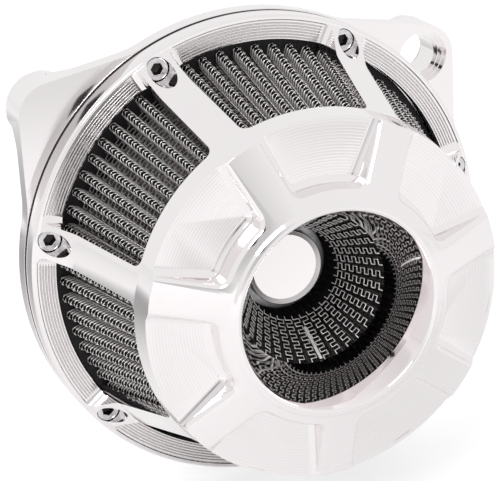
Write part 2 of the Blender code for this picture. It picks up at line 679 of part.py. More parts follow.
def make_cover_screws():
    top = FLANGE_FRONT + SCREW_HEAD_RISE
    mesh = screw_mesh(
        "cover_screw", SCREW_SHANK_RADIUS, SCREW_HEAD_RADIUS,
        PLATE_REAR + SCREW_END_MARGIN, top - SCREW_HEAD_HEIGHT, top, SCREW_HEX,
    )
    for number, angle in enumerate(SPOKE_ANGLES, 1):
        screw = add_object(f"cover_screw_{number}", mesh.copy(), ZINC)
        screw.location = Vector((math.cos(angle), math.sin(angle), 0.0)) * SCREW_CIRCLE


# ---------------------------------------------------------------- filter

def pleat_skin(count, crest, valley, height):
    """One turn of pleats: round crests at one radius and round valleys at the other."""
    pitch = 2 * math.pi / count
    rounding = (crest - valley) * 0.06
    points = []
    for k in range(count):
        for radius, turn in (
            (crest - rounding, -CREST_SHARE / 4), (crest, 0.0), (crest - rounding, CREST_SHARE / 4),
            (valley + rounding, 0.5 - (1 - VALLEY_SHARE) / 4), (valley + rounding, 0.5 + (1 - VALLEY_SHARE) / 4),
        ):
            angle = (k + turn) * pitch
            points.append((radius * math.cos(angle), radius * math.sin(angle), height))
    return points


def pleated_cone(name, count, rear, front, depth):
    """A folded sheet of media. rear and front are (crest radius, height); depth is crest to valley."""
    side = math.copysign(MEDIA_THICKNESS, depth)
    outer = [pleat_skin(count, crest, crest - depth, height) for crest, height in (rear, front)]
    inner = [pleat_skin(count, crest - side, crest - depth - side, height) for crest, height in (rear, front)]
    loft(name, outer, inner, MEDIA)


def make_pleats():
    pleated_cone(
        "outer_pleats", OUTER_PLEAT_COUNT, (OUTER_TIP_REAR, PLEAT_REAR), (OUTER_TIP_FRONT, PLEAT_FRONT),
        OUTER_PLEAT_DEPTH,
    )
    pleated_cone(
        "inner_pleats", INNER_PLEAT_COUNT, (INNER_CREST_REAR, INNER_CONE_REAR), (INNER_CREST_FRONT, PLEAT_FRONT),
        -INNER_PLEAT_DEPTH,
    )


def make_seals():
    outer = SEAL_BORE_RADIUS - SEAL_PLAY
    ring("rear_seal", outer - REAR_SEAL_WIDTH, outer, REAR_SEAL_REAR, REAR_SEAL_FRONT, SIDES, RUBBER)
    ring(
        "front_seal", FUNNEL_RADIUS + FUNNEL_WALL + CLEARANCE, FRONT_SEAL_RADIUS,
        FRONT_SEAL_REAR, FRONT_SEAL_FRONT, SIDES, RUBBER,
    )
    ring(
        "inner_ring", INNER_RING_BORE, INNER_RING_BORE + INNER_RING_WIDTH,
        INNER_RING_REAR, INNER_RING_FRONT, BORE_SIDES, RUBBER,
    )


def make_end_plate():
    hole = CAP_SCREW_SHANK_RADIUS + SCREW_PLAY
    ring("end_plate", hole, INNER_RING_BORE + INNER_RING_WIDTH, END_PLATE_REAR, END_PLATE_FRONT, BORE_SIDES, ALUMINIUM)


def make_centre_cap():
    hole = CAP_SCREW_SHANK_RADIUS + CLEARANCE
    front = CAP_REAR + CAP_THICKNESS
    depth = CAP_SCREW_ENGAGEMENT + CLEARANCE
    turned("centre_cap", [
        (0.0, CAP_REAR + depth), (hole, CAP_REAR + depth), (hole, CAP_REAR), (CAP_RADIUS, CAP_REAR),
        (CAP_RADIUS, front - CAP_BEVEL), (CAP_RADIUS - CAP_BEVEL, front), (0.0, front),
    ], BORE_SIDES, CHROME)


def make_cap_screw():
    seat = END_PLATE_REAR - CLEARANCE
    turned("cap_screw", [
        (0.0, seat - CAP_SCREW_HEAD_HEIGHT), (CAP_SCREW_HEAD_RADIUS, seat - CAP_SCREW_HEAD_HEIGHT),
        (CAP_SCREW_HEAD_RADIUS, seat), (CAP_SCREW_SHANK_RADIUS, seat),
        (CAP_SCREW_SHANK_RADIUS, CAP_REAR + CAP_SCREW_ENGAGEMENT), (0.0, CAP_REAR + CAP_SCREW_ENGAGEMENT),
    ], SMALL_SIDES, ZINC)


# ---------------------------------------------------------------- the assembly

bpy.context.view_layer.update()
make_back_plate()
make_breather_oring()
make_throttle_gasket()
make_throttle_screws()
make_cover_gasket()
make_cover()
make_cover_screws()
make_seals()
make_pleats()
make_end_plate()
make_centre_cap()
make_cap_screw()

for part in PARTS.objects:
    if part.type == "MESH":
        part.data.shade_smooth()
        part.data.set_sharp_from_angle(angle=math.radians(30))
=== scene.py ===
"""The look of the air filter: plated covers, wire-cloth pleats, rubber and a white studio.

Lengths are in metres. Pieces are made about the filter's axis, with x to the right, y up and z ahead, out
of the mouth, and then set into the model's frame, where the mouth faces -Y and the ears are up.
"""

import math

import bmesh
import bpy
from mathutils import Matrix, Vector


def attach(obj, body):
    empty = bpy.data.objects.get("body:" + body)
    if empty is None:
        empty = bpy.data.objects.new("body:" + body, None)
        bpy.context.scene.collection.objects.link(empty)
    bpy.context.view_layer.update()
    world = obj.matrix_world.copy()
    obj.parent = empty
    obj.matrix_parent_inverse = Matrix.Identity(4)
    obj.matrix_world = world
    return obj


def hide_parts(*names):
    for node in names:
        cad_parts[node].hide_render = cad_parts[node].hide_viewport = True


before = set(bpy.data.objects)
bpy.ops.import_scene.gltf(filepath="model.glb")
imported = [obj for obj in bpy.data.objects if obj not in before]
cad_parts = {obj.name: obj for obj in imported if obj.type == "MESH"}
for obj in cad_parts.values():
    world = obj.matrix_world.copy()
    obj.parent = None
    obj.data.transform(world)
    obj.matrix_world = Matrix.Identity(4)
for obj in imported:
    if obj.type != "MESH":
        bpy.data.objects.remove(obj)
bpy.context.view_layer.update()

mm = 0.001
INTO_FRAME = Matrix.Rotation(math.pi / 2, 4, "X")
SECTORS = 7
SECTOR = 2 * math.pi / SECTORS
SPOKES = [math.pi / 2 + (k + 0.5) * SECTOR for k in range(SECTORS)]
POCKETS = [math.pi / 2 + k * SECTOR for k in range(SECTORS)]

# Stations along the axis, as packed
PLATE_REAR, PLATE_FRONT = 3.1 * mm, 10.3 * mm
FLANGE_REAR, FLANGE_FRONT = 11.5 * mm, 19.5 * mm
WINDOW_FRONT = 69.5 * mm
PLEAT_REAR, PLEAT_FRONT = 14.5 * mm, 66.7 * mm
INNER_REAR = 48.5 * mm

# Cap screws: the circles they stand on, and the seat of those that hold the cover
COVER_SCREW_CIRCLE, COVER_SCREW_SEAT = 83.3 * mm, 14.7 * mm
THROTTLE_SCREW_CIRCLE = 36.5 * mm
THROTTLE_SCREWS = [math.pi / 2 + k * 2 * math.pi / 3 for k in range(3)]

# Grooves cut round the flange: the band they fill, and how far across its pitch each is deepest
GROOVES_INNER, GROOVES_OUTER, GROOVES = 80.35 * mm, 86.55 * mm, 6
GROOVE_PITCH = (GROOVES_OUTER - GROOVES_INNER) / GROOVES
GROOVE_FOOT = 0.36

# Pleats: radius and height of a crest's two ends, and the depth of the folds towards the axis
OUTER_FOLDS = {"Pleats": 70, "Crest_Rear": 77.3 * mm, "Crest_Front": 63.8 * mm,
               "Rear": PLEAT_REAR, "Front": PLEAT_FRONT, "Depth": 10.5 * mm}
INNER_FOLDS = {"Pleats": 36, "Crest_Rear": 17.3 * mm, "Crest_Front": 28.5 * mm,
               "Rear": INNER_REAR, "Front": PLEAT_FRONT, "Depth": -7.6 * mm}

# Marks on the finishes: the lathe's feed, and the pitch of the wire cloth
TURNING_PITCH = 1.1 * mm
CLOTH_PITCH = 1.9 * mm


# ------------------------------------------------------------------ node trees

def maths(operation, swapped=False):
    """A Python operator that adds a maths node."""
    def operator(value, other):
        return value.tree.math(operation, *((other, value) if swapped else (value, other)))
    return operator


class Value:
    """A node's output, which takes Python's operators."""

    def __init__(self, tree, socket):
        self.tree = tree
        self.socket = socket

    __add__ = __radd__ = maths("ADD")
    __sub__ = maths("SUBTRACT")
    __rsub__ = maths("SUBTRACT", swapped=True)
    __mul__ = __rmul__ = maths("MULTIPLY")
    __truediv__ = maths("DIVIDE")
    __pow__ = maths("POWER")
    __mod__ = maths("FLOORED_MODULO")
    __gt__ = maths("GREATER_THAN")


class Tree:
    """A shader or geometry node tree under construction."""

    def __init__(self, tree):
        self.nodes = tree.nodes
        self.links = tree.links

    def add(self, kind, settings=None, **inputs):
        """Adds a node, sets it up, fills or links its inputs and returns it."""
        node = self.nodes.new(kind)
        for name, value in (settings or {}).items():
            setattr(node, name, value)
        for name, value in inputs.items():
            self.feed(node.inputs[name.replace("_", " ")], value)
        return node

    def feed(self, target, value):
        if isinstance(value, Value):
            self.links.new(value.socket, target)
        elif value is not None:
            target.default_value = value

    def out(self, node, name=0):
        return Value(self, node.outputs[name])

    def get(self, kind, settings=None, **inputs):
        """Adds a node and returns its first output."""
        return self.out(self.add(kind, settings, **inputs))

    def math(self, operation, *values):
        node = self.add("ShaderNodeMath", {"operation": operation})
        for socket, value in zip(node.inputs, values):
            self.feed(socket, value)
        return self.out(node)

    def smooth(self, value, low, high):
        """0 below low, 1 above high, smooth between."""
        return self.get("ShaderNodeMapRange", {"interpolation_type": "SMOOTHSTEP"},
                        Value=value, From_Min=low, From_Max=high)

    def mix_colour(self, factor, first, second):
        node = self.add("ShaderNodeMix", {"data_type": "RGBA"})
        self.feed(node.inputs[0], factor)
        for socket, value in ((node.inputs[6], first), (node.inputs[7], second)):
            self.feed(socket, value if isinstance(value, Value) else (*value, 1.0))
        return self.out(node, 2)

    def parts_of(self, vector):
        node = self.add("ShaderNodeSeparateXYZ", Vector=vector)
        return [self.out(node, i) for i in range(3)]

    def vector(self, x, y, z):
        return self.get("ShaderNodeCombineXYZ", X=x, Y=y, Z=z)

    def noise(self, vector, scale, detail=2.0):
        return self.out(self.add("ShaderNodeTexNoise", Vector=vector, Scale=scale, Detail=detail), "Fac")


class Finish(Tree):
    """A material, from the Principled shader's plain values; surface() links what varies over it."""

    def __init__(self, name, colour, metallic, roughness, **plain):
        self.material = bpy.data.materials.new(name)
        self.material.use_nodes = True
        super().__init__(self.material.node_tree)
        self.shader = self.nodes["Principled BSDF"]
        self.surface(Base_Color=(*colour, 1.0), Metallic=metallic, Roughness=roughness, **plain)

    def place(self):
        """Object coordinates: x right, y to the rear, z up."""
        return self.out(self.add("ShaderNodeTexCoord"), "Object")

    def radius(self, place):
        x, _, z = self.parts_of(place)
        return self.math("SQRT", x * x + z * z)

    def surface(self, **inputs):
        for name, value in inputs.items():
            self.feed(self.shader.inputs[name.replace("_", " ")], value)

    def bump(self, height, distance):
        return self.get("ShaderNodeBump", Strength=1.0, Distance=distance, Height=height)


def plated_finish(name, turning=0.0, colour=(0.895, 0.862, 0.867), roughness=0.05):
    """Bright plating over milled metal. turning is the depth of the turned lines under it."""
    finish = Finish(name, colour, 1.0, roughness)
    place = finish.place()
    haze = finish.noise(place, 60.0, 3.0)
    drift = finish.noise(place, 14.0)
    pale = tuple(min(1.0, c * 1.02) for c in colour)
    if turning:
        across = finish.radius(place)
        fine = finish.math("SINE", across * (2 * math.pi / TURNING_PITCH))
        relief = fine * 0.5 + finish.noise(finish.vector(across * 420.0, 0.0, 0.0), 1.0)
        depth = turning
        line = finish.smooth(relief, 0.55, 1.0) * finish.smooth(drift, 0.3, 0.6)
        tint = finish.mix_colour(line, pale, tuple(c * 0.95 for c in colour))
    else:
        relief, depth = finish.noise(place, 90.0), 0.01 * mm
        tint = finish.mix_colour(finish.smooth(drift, 0.35, 0.7), colour, pale)
    finish.surface(
        Base_Color=tint,
        Roughness=roughness + 0.05 * haze * drift,
        Normal=finish.bump(relief, depth),
    )
    return finish.material


def grooved_finish(name):
    """Plating over the flange's cut grooves: a darker line at each groove's foot, painted shade in the
    groove.
    """
    finish = Finish(name, (0.90, 0.87, 0.875), 1.0, 0.1)
    place = finish.place()
    turns = (finish.radius(place) - GROOVES_INNER) / GROOVE_PITCH
    # foot marks each groove's foot: the darker colour it brings is painted shade, and it also shapes the bump
    foot = finish.smooth(finish.math("ABSOLUTE", turns % 1.0 - GROOVE_FOOT), 0.19, 0.11)
    uneven = finish.noise(place, 25.0)
    finish.surface(
        Base_Color=finish.mix_colour(foot, (0.94, 0.91, 0.915), (0.62, 0.60, 0.60)),
        Roughness=0.08 + 0.06 * uneven,
        Normal=finish.bump(1.0 - foot, 0.02 * mm),
    )
    return finish.material


def rubber_finish(name, colour, roughness):
    """Moulded black rubber: a fine grain, slightly dusty in random patches."""
    finish = Finish(name, colour, 0.0, roughness, Specular_IOR_Level=0.2)
    place = finish.place()
    grain = finish.noise(place, 900.0, 3.0)
    dust = finish.smooth(finish.noise(place, 70.0, 4.0), 0.45, 0.8)
    dusty = tuple(c * 1.9 + 0.008 for c in colour)
    finish.surface(
        Base_Color=finish.mix_colour(dust * 0.6, colour, dusty),
        Roughness=roughness + 0.15 * dust,
        Normal=finish.bump(grain, 0.06 * mm),
    )
    return finish.material


def steel_finish(name, colour, roughness, streak=500.0, metallic=1.0):
    """Turned or cold-headed steel with faint uneven streaks."""
    finish = Finish(name, colour, metallic, roughness)
    place = finish.place()
    patch = finish.noise(place, streak, 3.0)
    worn = tuple(c * 0.82 for c in colour)
    finish.surface(
        Base_Color=finish.mix_colour(finish.smooth(patch, 0.4, 0.7), colour, worn),
        Roughness=roughness + 0.12 * patch,
        Normal=finish.bump(patch, 0.01 * mm),
    )
    return finish.material


def media_finish(name, bare, shaded_wire_colour):
    """Black pleated media. Past the width bare, the cloth over its deep parts shows as wires: a wire pattern
    of the cloth's own, dim as painted shade in the folds.
    """
    finish = Finish(name, (0.008, 0.0075, 0.008), 0.0, 0.8, Specular_IOR_Level=0.08)
    weave = finish.out(finish.add("ShaderNodeAttribute", {"attribute_name": "weave"}), "Vector")
    across, along, _ = finish.parts_of(weave)
    fibre = finish.noise(finish.place(), 1500.0, 3.0)

    def wires(length):
        beside = finish.math("ABSOLUTE", (length / CLOTH_PITCH) % 1.0 - 0.5)
        return finish.smooth(beside, 0.36, 0.28)

    deep = finish.smooth(finish.math("ABSOLUTE", across), bare, bare * 1.3)
    wire = finish.math("MAXIMUM", wires(across), wires(along)) * deep
    dim = finish.mix_colour(fibre, (0.003, 0.0027, 0.003), (0.012, 0.011, 0.0115))
    # Over the deep parts the wire pattern takes the dim colour passed in, which is painted shade in the folds
    finish.surface(
        Base_Color=finish.mix_colour(wire, dim, shaded_wire_colour),
        Metallic=wire * 0.6,
        Roughness=0.85 - 0.5 * wire,
        Normal=finish.bump(wire + fibre * 0.3, 0.15 * mm),
    )
    return finish.material


PLATING = plated_finish("plating")
TURNED_PLATING = plated_finish("plating_over_turning", 0.008 * mm, roughness=0.08)
MIRROR_PLATING = plated_finish("plating_polished", roughness=0.025)
# The cap's face takes a brighter copy of the plating: painted highlight
CAP_PLATING_PAINTED_HIGHLIGHT = plated_finish("plating_cap_face", colour=(0.955, 0.92, 0.92), roughness=0.05)
# The cap's rim edge takes a darker copy of the plating: painted shade in its well
CAP_EDGE_PLATING_PAINTED_SHADE = plated_finish("plating_cap_edge", colour=(0.74, 0.72, 0.72), roughness=0.40)
GROOVED_PLATING = grooved_finish("plating_over_grooves")
POTTING = rubber_finish("pleat_potting", (0.004, 0.0035, 0.004), 0.85)
# A dark steel for the screws' hexagon sockets: painted shade in the deep socket
SOCKET_PAINTED_SHADE = steel_finish("socket_steel", (0.10, 0.09, 0.085), 0.45)
RUBBER = rubber_finish("moulded_rubber", (0.018, 0.016, 0.017), 0.42)
GASKET = rubber_finish("gasket_rubber", (0.010, 0.010, 0.011), 0.6)
PAPER = rubber_finish("gasket_sheet", (0.045, 0.042, 0.040), 0.85)
# Lit and shaded copies of one cloth wire: the copies for the valleys and for the inner cloth are darker as
# painted shade
WIRE = steel_finish("cloth_wire", (0.96, 0.93, 0.92), 0.28, metallic=0.45)
SHADED_VALLEY_WIRE = steel_finish("cloth_wire_in_valleys", (0.46, 0.43, 0.42), 0.4, metallic=0.5)
DIM_WIRE = steel_finish("cloth_wire_shaded", (0.17, 0.16, 0.155), 0.45)
SCREW_STEEL = steel_finish("screw_steel", (0.74, 0.73, 0.74), 0.16)
ALUMINIUM = steel_finish("turned_aluminium", (0.66, 0.66, 0.68), 0.32, streak=260.0)
# The wires over the media's deep parts are dim as painted shade, the inner media's dimmer still, inside the
# filter
OUTER_MEDIA = media_finish("outer_media", bare=2.6 * mm, shaded_wire_colour=(0.34, 0.32, 0.31))
INNER_MEDIA = media_finish("inner_media", bare=2.2 * mm, shaded_wire_colour=(0.16, 0.15, 0.145))


# ------------------------------------------------------------------ meshes

def add_object(name, mesh, *materials):
    obj = bpy.data.objects.new(name, mesh)
    bpy.context.scene.collection.objects.link(obj)
    for material in materials:
        mesh.materials.append(material)
    return obj


def mesh_from(work, name):
    bmesh.ops.remove_doubles(work, verts=work.verts, dist=0.001 * mm)
    bmesh.ops.recalc_face_normals(work, faces=work.faces)
    mesh = bpy.data.meshes.new(name)
    work.to_mesh(mesh)
    work.free()
    return mesh


def bend(start, corner, end, steps):
    """Points of a soft corner: a parabola between the two ends, each tangent to its side."""
    points = []
    for k in range(steps + 1):
        t = k / steps
        points.append(tuple(start * (1 - t) ** 2 + corner * 2 * t * (1 - t) + end * t ** 2))
    return points


def rounded(corners, steps=4):
    """A closed (radius, height) outline from corners given as (radius, height, rounding)."""
    points = []
    for i, (r, z, rounding) in enumerate(corners):
        here = Vector((r, z))
        before = Vector(corners[i - 1][:2]) - here
        after = Vector(corners[(i + 1) % len(corners)][:2]) - here
        turn = before.angle(after)
        if rounding <= 0 or turn > math.radians(178):
            points.append((r, z))
            continue
        reach = min(rounding / math.tan(turn / 2), before.length * 0.49, after.length * 0.49)
        points += bend(here + before.normalized() * reach, here, here + after.normalized() * reach, steps)
    return points


def on_axis(vert):
    return math.hypot(vert.co.x, vert.co.y) < 1e-9


def turned_work(profile, sides):
    """A bmesh turned from a closed profile, or from one that starts and ends on the axis."""
    work = bmesh.new()
    rings = []
    for k in range(sides):
        angle = 2 * math.pi * k / sides
        c, s = math.cos(angle), math.sin(angle)
        rings.append([work.verts.new((r * c, r * s, z)) for r, z in profile])
    count = len(profile)
    for k in range(sides):
        here, there = rings[k], rings[(k + 1) % sides]
        for i in range(count):
            j = (i + 1) % count
            corners = []
            for vert in (here[i], here[j], there[j], there[i]):
                if on_axis(vert) and any(on_axis(v) and abs(v.co.z - vert.co.z) < 1e-9 for v in corners):
                    continue
                corners.append(vert)
            if len(corners) > 2:
                work.faces.new(corners)
    return work


def turned(name, profile, sides, *materials):
    return add_object(name, mesh_from(turned_work(profile, sides), name), *materials)


def flat_ring(name, inner, outer, rear, front, rounding, sides, material):
    """A turned ring with a rectangular section and rounded edges; its sizes are in millimetres."""
    return turned(name, rounded([
        (inner * mm, rear * mm, rounding * mm), (outer * mm, rear * mm, rounding * mm),
        (outer * mm, front * mm, rounding * mm), (inner * mm, front * mm, rounding * mm),
    ]), sides, material)


def arc(centre, radius, start, end, count):
    angles = [start + (end - start) * i / (count - 1) for i in range(count)]
    return [(centre[0] + radius * math.cos(a), centre[1] + radius * math.sin(a)) for a in angles]


def evaluated_mesh(obj):
    bpy.context.view_layer.update()
    return bpy.data.meshes.new_from_object(obj.evaluated_get(bpy.context.evaluated_depsgraph_get()))


def apply_modifiers(obj):
    """Keeps what obj's modifiers make of it as its own mesh."""
    mesh = evaluated_mesh(obj)
    obj.modifiers.clear()
    obj.data = mesh
    return obj


def moved(obj, x, y):
    obj.location = (x, y, 0.0)
    bpy.context.view_layer.update()
    return obj


def loft(name, levels, *materials):
    """A solid through closed outlines that have the same number of points, with flat ends."""
    work = bmesh.new()
    rings = [[work.verts.new(p) for p in level] for level in levels]
    for lower, upper in zip(rings, rings[1:]):
        for i in range(len(lower)):
            j = (i + 1) % len(lower)
            work.faces.new((lower[i], lower[j], upper[j], upper[i]))
    work.faces.new(rings[0])
    work.faces.new(rings[-1])
    return add_object(name, mesh_from(work, name), *materials)


def repeated(name, obj, angles):
    """Turned copies of a shape about the axis, as one mesh; the shape itself is removed."""
    source = evaluated_mesh(obj)
    source.transform(obj.matrix_world)
    work = bmesh.new()
    for angle in angles:
        copy = source.copy()
        copy.transform(Matrix.Rotation(angle, 4, "Z"))
        work.from_mesh(copy)
        bpy.data.meshes.remove(copy)
    bpy.data.objects.remove(obj, do_unlink=True)
    return add_object(name, mesh_from(work, name))


def carve(obj, *cutters, operation="DIFFERENCE"):
    """Cuts, or joins, other shapes and keeps the result as obj's own mesh."""
    for cutter in cutters:
        modifier = obj.modifiers.new(cutter.name, "BOOLEAN")
        modifier.operation = operation
        modifier.solver = "EXACT"
        modifier.object = cutter
    apply_modifiers(obj)
    for cutter in cutters:
        bpy.data.objects.remove(cutter, do_unlink=True)
    return obj


def coat(obj, *materials):
    """Replaces the finishes that a cut piece has picked up."""
    obj.data.materials.clear()
    for material in materials:
        obj.data.materials.append(material)


def paint_faces(obj, rule):
    """Gives each face the finish that a rule on its centre and normal, about the axis, returns."""
    slots = {material.name: slot for slot, material in enumerate(obj.data.materials)}
    for face in obj.data.polygons:
        face.material_index = slots[rule(face.center, face.normal).name]


def seat(obj, body, slot, *nodes, smooth_angle=25.0):
    """Turns a finished piece into the model's frame; says its body and the nodes it replaces. slot is not
    used.
    """
    obj.data.transform(INTO_FRAME @ obj.matrix_world)
    obj.matrix_world = Matrix.Identity(4)
    obj.data.shade_smooth()
    obj.data.set_sharp_from_angle(angle=math.radians(smooth_angle))
    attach(obj, body)
    if nodes:
        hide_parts(*nodes)


# ------------------------------------------------------------------ cover

RIM_RADIUS, RIM_HEIGHT = 66.1 * mm, WINDOW_FRONT + 11.3 * mm
LAND_SLOPE = 0.341
POCKET_FLOOR = WINDOW_FRONT + 9.3 * mm
MOUTH_RADIUS, FUNNEL_RADIUS = 36.0 * mm, 28.4 * mm
COVER_SIDES = SECTORS * 50


def land(radius):
    """Height of the front disc's conical face."""
    return RIM_HEIGHT + (RIM_RADIUS - radius) * LAND_SLOPE


def funnel_line():
    """The funnel's inner wall: a flared cone behind the lip that bends into a steeper one, the throat."""
    ends = [Vector(p) * mm for p in ((36.0, 90.5), (31.12, 79.54), (30.22, 75.73), (28.04, 67.0))]
    points = []
    for k in range(18):
        t = k / 17
        u = 1 - t
        point = ends[0] * u ** 3 + ends[1] * 3 * t * u * u + ends[2] * 3 * t * t * u + ends[3] * t ** 3
        points.append((point.x, point.y, 0.0))
    return points


def cover_profile():
    lip = 39.6 * mm
    edge = land(lip) + 0.7 * mm
    flange = FLANGE_FRONT
    return rounded([
        (80.2 * mm, FLANGE_REAR, 0.15 * mm),
        (89.0 * mm, FLANGE_REAR, 0.25 * mm),
        (89.0 * mm, flange - 0.9 * mm, 0.3 * mm),
        (88.2 * mm, flange, 0.3 * mm),
        (87.2 * mm, flange, 0.5 * mm),
        (78.5 * mm, flange + 12.5 * mm, 12.0 * mm),
        (75.0 * mm, flange + 24.0 * mm, 12.0 * mm),
        (67.2 * mm, WINDOW_FRONT, 4.0 * mm),
        (RIM_RADIUS, RIM_HEIGHT, 0.55 * mm),
        (lip, land(lip), 0.35 * mm),
        (lip - 0.9 * mm, edge + 0.1 * mm, 0.8 * mm),
        (lip - 2.1 * mm, edge + 0.7 * mm, 1.2 * mm),
        (MOUTH_RADIUS + 0.3 * mm, edge + 0.45 * mm, 0.9 * mm),
        *funnel_line(),
        (FUNNEL_RADIUS + 0.25 * mm, PLEAT_FRONT + 0.3 * mm, 0.0),
        (FUNNEL_RADIUS + 1.9 * mm, PLEAT_FRONT + 0.3 * mm, 0.25 * mm),
        (FUNNEL_RADIUS + 1.9 * mm, WINDOW_FRONT + 2.8 * mm, 0.3 * mm),
        (65.1 * mm, WINDOW_FRONT + 2.8 * mm, 0.3 * mm),
        (65.1 * mm, 67.0 * mm, 0.0),
        (66.07 * mm, 62.0 * mm, 3.0 * mm),
        (78.3 * mm, 14.7 * mm, 0.2 * mm),
        (80.2 * mm, 14.7 * mm, 0.15 * mm),
    ], 5)


def spoke_bars(name, outline, inner, outer):
    """Along every spoke, a bar with this outline between two radii."""
    rows = [[(depth, x, y) for x, y in outline] for depth in (inner, outer)]
    return repeated(name + "s", loft(name, rows), SPOKES)


def window_cutter():
    """The windows' tool path: a ring with a grooved floor, less a filleted bar for each spoke."""
    floor = FLANGE_FRONT - 0.25 * mm
    band = []
    for k in range(GROOVES):
        r = GROOVES_INNER + k * GROOVE_PITCH
        for across, depth in ((0.0, 0.0), (0.16, 0.34), (GROOVE_FOOT, 0.46), (0.56, 0.34), (0.72, 0.0)):
            band.append((r + across * GROOVE_PITCH, floor - depth * mm))
    cutter = turned("windows", [
        (50.0 * mm, 14.3 * mm), (79.9 * mm, 14.3 * mm), (79.9 * mm, floor), *band, (87.0 * mm, floor),
        (87.35 * mm, floor + 0.4 * mm), (87.35 * mm, WINDOW_FRONT), (50.0 * mm, WINDOW_FRONT),
    ], COVER_SIDES)
    half, fillet = 6.25 * mm, 3.5 * mm
    flare = half + fillet
    low = FLANGE_FRONT - 0.3 * mm
    right = [(flare, 12.0 * mm)]
    right += arc((flare, low + fillet), fillet, 1.5 * math.pi, math.pi, 9)
    right += arc((flare, WINDOW_FRONT - fillet), fillet, math.pi, math.pi / 2, 9)
    right += [(flare, WINDOW_FRONT + 2 * mm)]
    outline = right + [(-x, y) for x, y in reversed(right)]
    return carve(cutter, spoke_bars("spoke_bar", outline, 44 * mm, 92 * mm))


def sill_cutter():
    """Inside the flange the spokes have no fillets: they run straight down to their toes."""
    low, top = 14.4 * mm, FLANGE_FRONT + 4.2 * mm
    inner, outer = 70 * mm, 80.0 * mm
    cutter = turned("sills", [(inner, low), (outer, low), (outer, top), (inner, top)], COVER_SIDES)
    half = 6.27 * mm
    outline = [(-half, low - mm), (half, low - mm), (half, top + mm), (-half, top + mm)]
    return carve(cutter, spoke_bars("spoke_toe", outline, 60 * mm, 92 * mm))


def pocket_outline(inset, corner):
    """One pocket about angle 0: along two ribs, round an inner arc, open past the rim."""
    half_angle = SECTOR / 2
    offset = 5.65 * mm + inset
    inner = 42.0 * mm + inset
    along = Vector((math.cos(half_angle), math.sin(half_angle)))
    into = Vector((math.sin(half_angle), -math.cos(half_angle)))
    reach = RIM_RADIUS + 5.0 * mm
    depth = math.sqrt((inner + corner) ** 2 - (offset + corner) ** 2)
    centre = along * depth + into * (offset + corner)
    start = math.atan2(-into.y, -into.x)
    end = math.atan2(-centre.y, -centre.x)
    end += 2 * math.pi if end < start else 0.0
    side_end = along * math.sqrt(reach ** 2 - offset ** 2) + into * offset
    side_start = centre - into * corner
    upper = [tuple(side_end.lerp(side_start, t / 8)) for t in range(8)]
    upper += arc(centre, corner, start, end, 10)
    upper += arc((0.0, 0.0), inner, math.atan2(centre.y, centre.x), 0.0, 14)[1:]
    return upper + [(x, -y) for x, y in reversed(upper[:-1])]


def pocket_cutter():
    """A pocket: flat floor, round foot, upright wall and a soft chamfer along the disc's face."""
    def level(inset, height):
        outline = pocket_outline(inset, 5.2 * mm - inset)
        return [(x, y, height(min(math.hypot(x, y), RIM_RADIUS + 1 * mm))) for x, y in outline]

    def wall(drop, least):
        return lambda r: max(land(r) - drop, POCKET_FLOOR + least)

    return loft("pocket", [
        level(3.9 * mm, lambda r: POCKET_FLOOR),
        level(3.3 * mm, lambda r: POCKET_FLOOR + 0.12 * mm),
        level(2.6 * mm, lambda r: POCKET_FLOOR + 0.5 * mm),
        level(1.75 * mm, lambda r: POCKET_FLOOR + 1.15 * mm),
        level(1.45 * mm, lambda r: POCKET_FLOOR + 1.35 * mm),
        level(1.3 * mm, wall(1.35 * mm, 1.42 * mm)),
        level(1.05 * mm, wall(0.85 * mm, 1.46 * mm)),
        level(0.25 * mm, wall(0.12 * mm, 1.50 * mm)),
        level(-0.25 * mm, lambda r: land(r) + 0.08 * mm),
        level(-1.0 * mm, lambda r: land(r) + 0.15 * mm),
        level(-1.0 * mm, lambda r: land(0.0)),
    ])


def counterbore_cutter():
    rod = turned("counterbore", [
        (0.0, 4.0 * mm), (2.8 * mm, 4.0 * mm), (2.8 * mm, COVER_SCREW_SEAT), (4.4 * mm, COVER_SCREW_SEAT),
        (4.4 * mm, FLANGE_FRONT + 20 * mm), (0.0, FLANGE_FRONT + 20 * mm),
    ], 48)
    return repeated("counterbores", moved(rod, COVER_SCREW_CIRCLE, 0.0), SPOKES)


def cover_rule(centre, normal):
    """Turned pocket floors, grooved flange and mirror-bright funnel; plain plating elsewhere."""
    radius = math.hypot(centre.x, centre.y)
    if abs(centre.z - POCKET_FLOOR) < 0.05 * mm and normal.z > 0.9:
        return TURNED_PLATING
    if 80.4 * mm < radius < 87.0 * mm and FLANGE_FRONT - mm < centre.z < FLANGE_FRONT - 0.2 * mm:
        return GROOVED_PLATING
    if radius < MOUTH_RADIUS + 1.5 * mm and normal.z < 0.95:
        return MIRROR_PLATING
    return PLATING


def make_cover():
    cover = turned("cover_shell", cover_profile(), COVER_SIDES, PLATING)
    carve(cover, window_cutter())
    carve(cover, sill_cutter())
    carve(cover, repeated("pockets", pocket_cutter(), POCKETS))
    carve(cover, counterbore_cutter())
    coat(cover, PLATING, TURNED_PLATING, MIRROR_PLATING, GROOVED_PLATING)
    paint_faces(cover, cover_rule)
    seat(cover, "cover_body", "plated_metal", "cover")


# ------------------------------------------------------------------ back plate

PLATE_RADIUS = 89.4 * mm
EAR_SIDE, EAR_RADIUS, EAR_DEPTH = 85.8 * mm, 12.6 * mm, 17.6 * mm
EAR_CENTRE = (EAR_SIDE - EAR_RADIUS, 61.0 * mm)
EAR_SLOPE = math.radians(10.0)


def polar(radius, angle):
    return radius * math.cos(angle), radius * math.sin(angle)


def blend_corner(before, corner, after, reach):
    """Points of a soft corner between two directions."""
    here = Vector(corner)
    start = here + (Vector(before) - here).normalized() * reach
    end = here + (Vector(after) - here).normalized() * reach
    return bend(start, here, end, 6)


